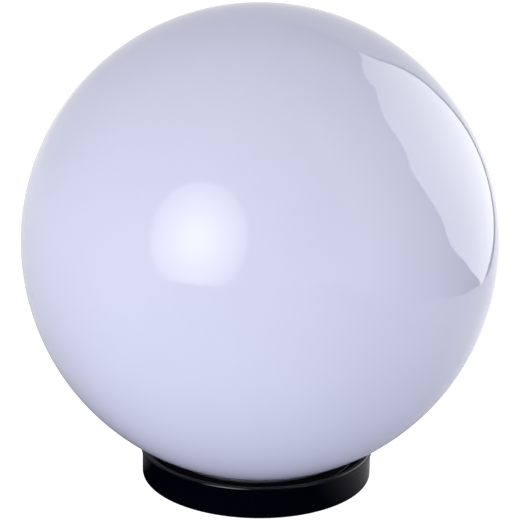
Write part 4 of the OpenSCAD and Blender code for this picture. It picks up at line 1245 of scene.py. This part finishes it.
class BALL_OT_lamp_light(bpy.types.Operator):
    """Makes the lamp's heat sink, LED board and ring of LEDs"""

    bl_idname = "ball_light.lamp_light"
    bl_label = "Lamp light source"

    def execute(self, context):
        aluminium = pressed_aluminium()
        low, top = height("lamp_heat_sink", 0), height("lamp_heat_sink", 1)
        plate_r, plate_low = reach("lamp_heat_sink"), top - 1.5 * MM
        seam, seam_r = height("lamp_housing", 1), reach("lamp_housing")
        flare_low = height("lamp_cap", 1) + 0.3 * MM
        share = (low - flare_low) / (seam - flare_low)
        skirt = 14.2 * MM + (seam_r - 14.2 * MM) * (1 - (1 - share) ** 1.7) - 1.9 * MM
        sink = turned("lamp_heat_spreader", aluminium, outline([
            (0, plate_low, 0), (skirt - 1 * MM, plate_low, 0.8 * MM), (skirt - 1 * MM, low, 0.2 * MM),
            (skirt, low, 0.2 * MM), (skirt, plate_low, 0.5 * MM), (plate_r, plate_low, 0.3 * MM),
            (plate_r, top, 0.5 * MM), (0, top, 0)]), segments=144, closed=False)
        hole = rod("hole", 1.5 * MM, plate_low - 1 * MM, top + 1 * MM, material=aluminium)
        carve(sink, repeated("holes", hole, [(x * 6 * MM, 0, 0, 0) for x in (-1, 1)], aluminium))
        settle(sink, "lamp", "pressed_aluminium", "lamp_heat_sink")
        mask = solder_mask("led_board_laminate", "#D9DBD8", "#E3E4E1", "#C6C9C4", 5 * MM)
        board_low, board_top = height("lamp_led_board", 0), height("lamp_led_board", 1)
        board_r = reach("lamp_led_board")
        board = turned("lamp_led_disc", mask, outline([
            (0, board_low, 0), (board_r, board_low, 0.15 * MM), (board_r, board_top, 0.15 * MM),
            (0, board_top, 0)], steps=2), segments=128, closed=False)
        hole = rod("hole", 1.2 * MM, board_low - 1 * MM, board_top + 1 * MM, material=mask)
        cuts = repeated("holes", hole, [(x * 6 * MM, 0, 0, 0) for x in (-1, 1)], mask)
        notch = rod("notch", 1.6 * MM, board_low - 1 * MM, board_top + 1 * MM, material=mask)
        notches = repeated("notches", notch, round_axis(board_r, 0, 3, 45), mask)
        carve(board, cuts, notches)
        settle(board, "lamp", "white_solder_mask", "lamp_led_board")
        leds_top = height("lamp_leds", 1)
        ring = reach("lamp_leds") - 1.4 * MM
        count = 12
        white = white_ceramic()
        package = block("package", (-1.4 * MM, -1.75 * MM, board_top), (1.4 * MM, 1.75 * MM, leds_top),
                        0.12 * MM, 2, white)
        cup = turned("cup", white, [(0, leds_top - 0.3 * MM), (0.95 * MM, leds_top - 0.3 * MM),
                                    (1.2 * MM, leds_top + 0.1 * MM), (0, leds_top + 0.1 * MM)],
                     segments=32, closed=False)
        carve(package, cup)
        spots = round_axis(ring, 0, count)
        packages = repeated("led_packages", package, spots, white)
        settle(packages, "lamp", "white_solder_mask", "lamp_leds")
        phosphor = cast_phosphor()
        drop = turned("drop", phosphor, [
            (0, leds_top - 0.32 * MM), (0.94 * MM, leds_top - 0.32 * MM), (1.06 * MM, leds_top - 0.12 * MM),
            (0.6 * MM, leds_top - 0.06 * MM), (0, leds_top - 0.03 * MM)], segments=32, closed=False)
        settle(repeated("led_phosphor_drops", drop, spots, phosphor), "lamp", "phosphor", "lamp_leds")
        return {"FINISHED"}


class BALL_OT_driver(bpy.types.Operator):
    """Makes the lamp's driver board, its parts and the leads to the cap"""

    bl_idname = "ball_light.driver"
    bl_label = "Driver"

    def execute(self, context):
        green = driver_laminate()
        tin = bpy.data.materials["tin_solder"]
        aluminium = bpy.data.materials["pressed_aluminium"]
        low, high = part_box("lamp_driver_board")
        board = block("lamp_driver_laminate", low, high, 0.15 * MM, 2, green)
        notches = [block("notch", (x0, -2 * MM, high.z - 4 * MM), (x0 + 3 * MM, 2 * MM, high.z + 1 * MM),
                         0.2 * MM, 1, green) for x0 in (low.x - 1 * MM, high.x - 2 * MM)]
        carve(board, *notches)
        settle(board, "lamp", "green_board", "lamp_driver_board")
        front, back = low.y, high.y
        joint = turned("joint", tin, outline([
            (0, 0, 0), (0.75 * MM, 0, 0.1 * MM), (0.3 * MM, 0.45 * MM, 0.2 * MM), (0, 0.6 * MM, 0)]),
            segments=20, closed=False)
        joint.data.transform(Matrix.Rotation(math.radians(90), 4, "X"))
        spots = [(x * MM, front, low.z + z * MM, 0) for x, z in (
            (1.7, 12.5), (4.3, 12.5), (-6.5, 2), (6.5, 2), (-3, 8), (1, 20.5), (-6, 29), (6, 29), (-5.5, 15),
            (-3.8, 24), (6.2, 16.5), (-7, 20))]
        back_spots = [(x * MM, back, low.z + z * MM, 180) for x, z in (
            (-3, 8.4), (1, 19.8), (-6.5, 2), (6.5, 2), (6, 29), (-6, 29))]
        joints = repeated("driver_solder_joints", joint, spots + back_spots, tin)
        settle(joints, "lamp", "solder", "lamp_driver_board")

        can_low, can_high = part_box("lamp_capacitor")
        can_r, sleeve = (can_high.x - can_low.x) / 2, shrink_sleeve()
        middle = (can_low + can_high) / 2
        can = turned("can", sleeve, outline([
            (can_r - 0.9 * MM, can_low.z, 0.1 * MM), (can_r, can_low.z, 0.4 * MM),
            (can_r, can_low.z + 1.2 * MM, 0.3 * MM), (can_r - 0.3 * MM, can_low.z + 1.7 * MM, 0.3 * MM),
            (can_r, can_low.z + 2.2 * MM, 0.3 * MM), (can_r, can_high.z, 0.5 * MM),
            (can_r - 0.8 * MM, can_high.z, 0.1 * MM), (can_r - 0.8 * MM, can_high.z - 0.25 * MM, 0),
            (can_r - 0.9 * MM, can_low.z + 0.3 * MM, 0)], steps=4), segments=72)
        lid = turned("lid", aluminium, outline([
            (0, can_low.z + 0.2 * MM, 0), (can_r - 0.85 * MM, can_low.z + 0.2 * MM, 0),
            (can_r - 0.75 * MM, can_high.z - 0.2 * MM, 0.1 * MM), (0, can_high.z - 0.2 * MM, 0)]),
            segments=64, closed=False)
        for turn in (0, 90):
            score = block("score", (-2.2 * MM, -0.12 * MM, can_high.z - 0.35 * MM),
                          (2.2 * MM, 0.12 * MM, can_high.z + 1 * MM), 0, 1, aluminium)
            carve(lid, placed(score, turn=turn + 45))
        legs = []
        for x in (-1.3, 1.3):
            knee = Vector((x * MM, 0, can_low.z - 1.2 * MM))
            path = curved(Vector((x * MM, 0, can_low.z + 0.4 * MM)), knee, knee,
                          Vector((x * MM, -middle.y + back - 0.4 * MM, can_low.z - 1.3 * MM)), 12)
            legs.append(swept("leg", tin, path, disc(0.28 * MM, 10), (1, 0, 0)))
        capacitor = joined("driver_capacitor", can, lid, *legs)
        settle(placed(capacitor, x=middle.x, y=middle.y), "lamp", "capacitor_sleeve", "lamp_capacitor")

        coil_low, coil_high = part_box("lamp_coil")
        spool_r = (coil_high.x - coil_low.x) / 2
        x, y = coil_low.x + spool_r, (coil_low.y + coil_high.y) / 2
        ferrite = moulded_ferrite()
        spool = turned("driver_coil_spool", ferrite, outline([
            (0, coil_low.z, 0), (spool_r, coil_low.z, 0.25 * MM), (spool_r, coil_low.z + 1 * MM, 0.2 * MM),
            (2.5 * MM, coil_low.z + 1 * MM, 0), (2.5 * MM, coil_high.z - 1 * MM, 0),
            (spool_r, coil_high.z - 1 * MM, 0.2 * MM), (spool_r, coil_high.z, 0.25 * MM),
            (0, coil_high.z, 0)],
            steps=4), segments=72, closed=False)
        settle(placed(spool, x=x, y=y), "lamp", "chip_resin", "lamp_coil")
        wire_r = 0.17 * MM
        run = coil_high.z - coil_low.z - 2 * MM - 2 * wire_r
        winding = new_piece("driver_coil_winding", bpy.data.meshes.new("driver_coil_winding"))
        grow(winding, shared_tree("Winding", winding_tree), {
            "Turns": run / (2 * wire_r), "Radius": 2.5 * MM + 1.6 * wire_r, "Height": run,
            "Wire radius": wire_r,
            "Material": enamelled_copper()})
        smooth(winding.data, 60)
        placed(winding, x=x, y=y, z=coil_low.z + 1 * MM + wire_r)
        settle(winding, "lamp", "enamelled_copper", "lamp_coil")

        resin = chip_resin()
        chips, legs = [], []
        for (x0, x1), (z0, z1), thick, face in (
                ((-6, -1), (0.12, 4), 1.5, 1), ((-7, -3), (0.48, 5), 1.8, 1), ((2, 7), (0.66, 4), 1.6, -1)):
            base = low.z + z0 * (high.z - low.z)
            near = (back if face > 0 else front) + face * 0.12 * MM
            far = near + face * (thick - 0.12) * MM
            chips.append(block("chip", (x0 * MM, min(near, far), base),
                               (x1 * MM, max(near, far), base + z1 * MM), 0.15 * MM, 2, resin))
            count = 4
            for edge, way in ((x0, -1), (x1, 1)):
                path = [Vector(point) for point in (
                    (edge * MM - way * 0.3 * MM, near + face * 0.6 * MM, 0),
                    (edge * MM + way * 0.25 * MM, near + face * 0.6 * MM, 0),
                    (edge * MM + way * 0.4 * MM, near + face * 0.45 * MM, 0),
                    (edge * MM + way * 0.5 * MM, near + face * 0.08 * MM, 0),
                    (edge * MM + way * 0.65 * MM, near, 0), (edge * MM + way * 0.95 * MM, near, 0))]
                leg = swept("leg", tin, path, oblong(0.4 * MM, 0.15 * MM, 0.03 * MM), (0, 0, 1))
                gap = z1 * MM / count
                places = [(0, 0, base + (k + 0.5) * gap, 0) for k in range(count)]
                legs.append(repeated("legs", leg, places, tin))
        settle(joined("driver_chips", *chips, *legs), "lamp", "chip_resin", "lamp_chips")

        leads_low, leads_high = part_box("lamp_inner_leads")
        red = pvc_insulation("red_silicone_sleeving", "#8E1F1A", "#A32A22")
        side = leads_high.x - 0.5 * MM
        cap_lead = leads_low.z + 3.4 * MM
        runs = [
            [Vector((0, 0, leads_low.z)), Vector((0, 0, leads_low.z + 8 * MM)),
             Vector((0.9 * MM, 0.5 * MM, 45 * MM)), Vector((0, 0, leads_high.z))],
            [Vector((side, 0, cap_lead)), Vector((side, 0, cap_lead + 9 * MM)),
             Vector((side - 1.2 * MM, 0.5 * MM, leads_high.z - 8 * MM)), Vector((side, 0, leads_high.z))]]
        sleeves = []
        for run in runs:
            path = curved(*run, 24)
            sleeves.append(swept("sleeving", red, path[1:-1], disc(0.5 * MM, 14), (0, 1, 0)))
            sleeves.append(swept("core", tin, [path[0], path[1], path[2]], disc(0.25 * MM, 10), (0, 1, 0)))
            sleeves.append(swept("core", tin, [path[-3], path[-2], path[-1]], disc(0.25 * MM, 10), (0, 1, 0)))
        settle(joined("lamp_sleeved_leads", *sleeves), "lamp", "red_insulation", "lamp_inner_leads")
        return {"FINISHED"}


def direction(azimuth, elevation):
    """Unit vector from the globe: azimuth 0 is the front and 90 the right, in degrees."""
    a, e = math.radians(azimuth), math.radians(elevation)
    return Vector((math.sin(a) * math.cos(e), -math.cos(a) * math.cos(e), math.sin(e)))


def glow(name, strength):
    """An emission material for a studio card; returns it, its tree and its emission node."""
    material = bpy.data.materials.new(name)
    material.use_nodes = True
    tree = material.node_tree
    tree.nodes.clear()
    light = add(tree, "ShaderNodeEmission", {"Strength": strength})
    add(tree, "ShaderNodeOutputMaterial", {"Surface": light})
    return material, tree, light


def plainly_seen(tree):
    """One where the camera, gloss or glass looks, and nought for soft light."""
    path = add(tree, "ShaderNodeLightPath")
    seen = add(tree, "ShaderNodeMath", {
        0: path.outputs["Is Camera Ray"], 1: path.outputs["Is Glossy Ray"]}, operation="MAXIMUM")
    return add(tree, "ShaderNodeMath", {
        0: seen, 1: path.outputs["Is Transmission Ray"]}, operation="MAXIMUM")


def leaning(tree, light, level, lean, centre=(0, 0, 0)):
    """Sets a card's glow to level, and more by lean towards one side of the centre."""
    place = add(tree, "ShaderNodeTexCoord")
    apart = add(tree, "ShaderNodeVectorMath", {0: place.outputs["Object"], 1: centre}, operation="SUBTRACT")
    toward = add(tree, "ShaderNodeVectorMath", {0: apart}, operation="NORMALIZE")
    rise = add(tree, "ShaderNodeVectorMath", {0: toward, 1: lean}, operation="DOT_PRODUCT")
    total = add(tree, "ShaderNodeMath", {0: rise.outputs["Value"], 1: level})
    total = add(tree, "ShaderNodeMath", {0: total, 1: 0.0}, operation="MAXIMUM")
    tree.links.new(total.outputs[0], light.inputs["Strength"])
    return total


def card(name, verts, faces, material, mirrored_only=False):
    """A studio card that the camera doesn't see; one that is mirrored only throws no light."""
    mesh = bpy.data.meshes.new(name)
    mesh.from_pydata(verts, [], faces)
    mesh.materials.append(material)
    piece = new_piece(name, mesh)
    piece.visible_camera = False
    piece.visible_shadow = False
    if mirrored_only:
        piece.visible_diffuse = False
    return piece


class BALL_OT_stage(bpy.types.Operator):
    """Makes the camera, the floor and the studio light"""

    bl_idname = "ball_light.stage"
    bl_label = "Stage"

    def execute(self, context):
        globe, _, stage = settings()
        centre = Vector((0, 0, height("globe", 1) - globe.radius))
        self.place_camera(context, stage, centre)
        self.lay_floor()
        self.hang_softbox(stage, centre)
        self.stand_wall(stage)
        self.surround(stage, centre)
        self.light_room(context, stage)
        context.scene.view_settings.view_transform = "Standard"
        return {"FINISHED"}

    def place_camera(self, context, stage, centre):
        data = bpy.data.cameras.new("camera")
        data.sensor_width = 36
        data.lens = stage.lens
        camera = bpy.data.objects.new("camera", data)
        context.scene.collection.objects.link(camera)
        context.scene.camera = camera
        picture = 520
        focal = stage.lens / data.sensor_width * picture
        ahead = -direction(0, math.degrees(stage.elevation))
        camera.location = centre - ahead * stage.distance
        level = ahead.to_track_quat("-Z", "Y")
        roll = Matrix.Rotation(stage.roll, 4, "Z").to_quaternion()
        seen = Vector((stage.aim_right / focal, stage.aim_up / focal, -1)).normalized()
        offset = seen.rotation_difference(Vector((0, 0, -1)))
        camera.rotation_mode = "QUATERNION"
        camera.rotation_quaternion = level @ roll @ offset
        data.clip_end = 100

    def lay_floor(self):
        """A pale floor. Where the camera, gloss or glass shows it, it is lifted to white and
        keeps a soft share of the shadow."""
        half, whitening = 9.0, 0.75
        mesh = bpy.data.meshes.new("floor")
        corners = [(-half, -half, 0), (half, -half, 0), (half, half, 0), (-half, half, 0)]
        mesh.from_pydata(corners, [], [(0, 1, 2, 3)])
        floor = new_piece("floor", mesh)
        material, tree, light = glow("pale_floor", 1.0)
        seen = plainly_seen(tree)
        lift = add(tree, "ShaderNodeMath", {0: seen, 1: whitening}, operation="MULTIPLY")
        tree.links.new(lift.outputs[0], light.inputs["Strength"])
        paint = add(tree, "ShaderNodeBsdfDiffuse", {"Color": linear("#F5F6FD")})
        both = add(tree, "ShaderNodeAddShader", {0: paint, 1: light})
        tree.links.new(both.outputs[0], tree.nodes["Material Output"].inputs["Surface"])
        mesh.materials.append(material)

    def hang_softbox(self, stage, centre):
        """An oval softbox at the front left, brightest in the middle and dimmer to its edge."""
        toward = direction(-28.9, 16.6)
        away, radius, stretch, sides = 2.0, 0.83, 1.1, 64
        edge_level = 0.2
        middle = centre + toward * away
        side = toward.cross(Vector((0, 0, 1))).normalized()
        up = side.cross(toward)
        material, tree, light = glow("softbox_cloth", 1.0)
        edge = add(tree, "ShaderNodeAttribute", attribute_name="edge")
        fade = add(tree, "ShaderNodeMath", {
            0: edge.outputs["Fac"], 1: edge_level - 1, 2: 1.0}, operation="MULTIPLY_ADD")
        power = add(tree, "ShaderNodeMath", {0: fade, 1: stage.key}, operation="MULTIPLY")
        tree.links.new(power.outputs[0], light.inputs["Strength"])
        rim = [middle + radius * (math.cos(a) * side + stretch * math.sin(a) * up)
               for a in (FULL_TURN * i / sides for i in range(sides))]
        faces = [(i, (i + 1) % sides, sides) for i in range(sides)]
        softbox = card("softbox", rim + [middle], faces, material)
        share = softbox.data.attributes.new("edge", "FLOAT", "POINT")
        share.data.foreach_set("value", [1.0] * sides + [0.0])

    def stand_wall(self, stage):
        """A wall at the right, close behind the table's edge, that only gloss mirrors: a dark room
        at its front, a bright cloth with a crumpled edge further back, and a dark seam behind the
        cloth. Their corners are millimetres along the wall, from front to back, and above the table."""
        away = 0.43
        out = direction(106.6, 0)
        along = Vector((-out.y, out.x, 0))
        near_edge = [
            (350, 640), (285, 650), (195, 685), (140, 685), (95, 660), (65, 630), (10, 625), (-45, 610),
            (-90, 585), (-110, 555), (-130, 510), (-160, 440), (-200, 390), (-200, 345), (-185, 270),
            (-165, 210), (-160, 160), (-145, 130), (-110, 100), (-65, 70), (-20, 40), (35, 15), (60, 0)]
        far_edge = [
            (85, 0), (140, 20), (200, 40), (245, 65), (285, 105), (305, 140), (310, 175), (300, 215),
            (290, 285), (300, 355), (295, 440), (290, 535), (305, 585)]
        seam = [*far_edge, (350, 640), (375, 655), (330, 585), (315, 535), (320, 440), (325, 355), (315, 285),
                (330, 215), (345, 170), (340, 125), (320, 90), (275, 45), (220, 20), (150, 0)]
        dark = [(-900, 0), *near_edge[::-1], (1080, 1080), (1080, 2000), (-900, 2000)]

        def on_wall(spots, gap):
            return [out * (away - gap) + along * (s * MM) + Vector((0, 0, z * MM + 0.001)) for s, z in spots]

        def card_on_wall(name, spots, gap, material):
            card(name, on_wall(spots, gap), [tuple(range(len(spots)))], material, mirrored_only=True)

        material, tree, light = glow("panel_cloth", 1.0)
        place = add(tree, "ShaderNodeTexCoord")
        middle = on_wall([(0, 290)], 0.0)[0]
        apart = add(tree, "ShaderNodeVectorMath", {
            0: place.outputs["Object"], 1: middle}, operation="DISTANCE")
        fade = add(tree, "ShaderNodeMath", {0: apart.outputs["Value"], 1: -stage.panel_fade, 2: stage.panel},
                   operation="MULTIPLY_ADD")
        tree.links.new(fade.outputs[0], light.inputs["Strength"])
        card_on_wall("panel", near_edge + far_edge, 0.002, material)
        material, _, _ = glow("seam_shade", 0.0)
        card_on_wall("seam", seam, 0.001, material)
        material, tree, light = glow("dark_room", 1.0)
        place = add(tree, "ShaderNodeTexCoord")
        depth = add(tree, "ShaderNodeVectorMath", {
            0: place.outputs["Object"], 1: along}, operation="DOT_PRODUCT")
        lit_end, dark_end = -0.75, -0.2
        shade = add(tree, "ShaderNodeMapRange", {
            "Value": depth.outputs["Value"], "From Min": lit_end, "From Max": dark_end,
            "To Min": stage.surround, "To Max": stage.shade}, interpolation_type="SMOOTHSTEP")
        tree.links.new(shade.outputs[0], light.inputs["Strength"])
        card_on_wall("dark_wall", dark, 0.0, material)

    def surround(self, stage, centre):
        """The grey room and the grey table that gloss mirrors, so that the ball keeps a darker
        outline against white. The table's glow is painted darker towards the base, a painted shadow of the
        ball."""
        away, columns, rows = 3.0, 32, 12
        material, tree, light = glow("grey_room", stage.surround)
        leaning(tree, light, stage.surround, stage.surround_lean, centre)
        azimuths = [360 * i / columns for i in range(columns)]
        elevations = [-3 + 93 * j / rows for j in range(rows)]
        verts = [centre + direction(a, e) * away for a in azimuths for e in elevations]
        verts.append(centre + Vector((0, 0, away)))
        faces = []
        for i in range(columns):
            here, beyond = i * rows, (i + 1) % columns * rows
            faces += [(here + j, beyond + j, beyond + j + 1, here + j + 1) for j in range(rows - 1)]
            faces.append((here + rows - 1, beyond + rows - 1, len(verts) - 1))
        card("room", verts, faces, material, mirrored_only=True)
        material, tree, light = glow("grey_table", 1.0)
        place = add(tree, "ShaderNodeTexCoord")
        apart = add(tree, "ShaderNodeVectorMath", {0: place.outputs["Object"]}, operation="LENGTH")
        # Painted shadow: the table card's glow is dimmed close to the base, standing in for the shade under
        # the ball.
        near_base, clear, painted_shadow_share = 0.062, 0.28, 0.5
        shade = add(tree, "ShaderNodeMapRange", {
            "Value": apart.outputs["Value"], "From Min": near_base, "From Max": clear,
            "To Min": painted_shadow_share, "To Max": 1.0}, interpolation_type="SMOOTHSTEP")
        level = leaning(tree, light, stage.table, stage.table_lean)
        level = add(tree, "ShaderNodeMath", {0: level, 1: shade}, operation="MULTIPLY")
        tree.links.new(level.outputs[0], light.inputs["Strength"])
        sides, inner, outer, lift = 96, 0.0621, 3.2, 0.0003
        ring = [(r * math.cos(FULL_TURN * i / sides), r * math.sin(FULL_TURN * i / sides), lift)
                for r in (inner, outer) for i in range(sides)]
        faces = [(i, sides + i, sides + (i + 1) % sides, (i + 1) % sides) for i in range(sides)]
        card("table", ring, faces, material, mirrored_only=True)

    def light_room(self, context, stage):
        """Soft light from the whole room, stronger on some sides, and plain white where the
        camera, gloss or glass looks past the stage."""
        world = bpy.data.worlds.new("studio")
        context.scene.world = world
        world.use_nodes = True
        tree = world.node_tree
        tree.nodes.clear()
        seen = plainly_seen(tree)
        toward = add(tree, "ShaderNodeTexCoord")
        lean = add(tree, "ShaderNodeVectorMath", {0: toward.outputs["Generated"], 1: stage.lean},
                   operation="DOT_PRODUCT")
        level = add(tree, "ShaderNodeMath", {0: lean.outputs["Value"], 1: stage.ambient})
        level = add(tree, "ShaderNodeMath", {0: level, 1: 0.0}, operation="MAXIMUM")
        room = add(tree, "ShaderNodeBackground", {"Color": linear("#FFFFFF"), "Strength": level})
        white = add(tree, "ShaderNodeBackground", {"Color": (1, 1, 1, 1), "Strength": 1.0})
        either = add(tree, "ShaderNodeMixShader", {0: seen, 1: room, 2: white})
        add(tree, "ShaderNodeOutputWorld", {"Surface": either})


class BALL_PT_panel(bpy.types.Panel):
    """Lists the ball light's pieces and sizes"""

    bl_idname = "BALL_PT_panel"
    bl_label = "Ball light"
    bl_space_type = "VIEW_3D"
    bl_region_type = "UI"
    bl_category = "Ball light"

    def draw(self, context):
        for operator in OPERATORS:
            self.layout.operator(operator.bl_idname)
        for name, group in GROUPS.items():
            box = self.layout.box()
            box.label(text=group.__doc__)
            for prop in group.__annotations__:
                box.prop(getattr(context.scene, name), prop)


GROUPS = {"ball_globe": GlobeSizes, "ball_base": BaseSizes, "ball_stage": StageSettings}
OPERATORS = (
    BALL_OT_stage, BALL_OT_globe, BALL_OT_base, BALL_OT_rubber, BALL_OT_terminal_block, BALL_OT_lampholder,
    BALL_OT_contacts, BALL_OT_leads, BALL_OT_lamp_cap, BALL_OT_lamp_body, BALL_OT_lamp_light, BALL_OT_driver)


def register():
    for group in GROUPS.values():
        bpy.utils.register_class(group)
    for name, group in GROUPS.items():
        setattr(bpy.types.Scene, name, bpy.props.PointerProperty(type=group))
    for shown in (*OPERATORS, BALL_PT_panel):
        bpy.utils.register_class(shown)


def unregister():
    for shown in (BALL_PT_panel, *reversed(OPERATORS)):
        bpy.utils.unregister_class(shown)
    for name in GROUPS:
        delattr(bpy.types.Scene, name)
    for group in GROUPS.values():
        bpy.utils.unregister_class(group)


def main():
    register()
    for operator in OPERATORS:
        module, name = operator.bl_idname.split(".")
        getattr(getattr(bpy.ops, module), name)()


if __name__ == "__main__":
    main()
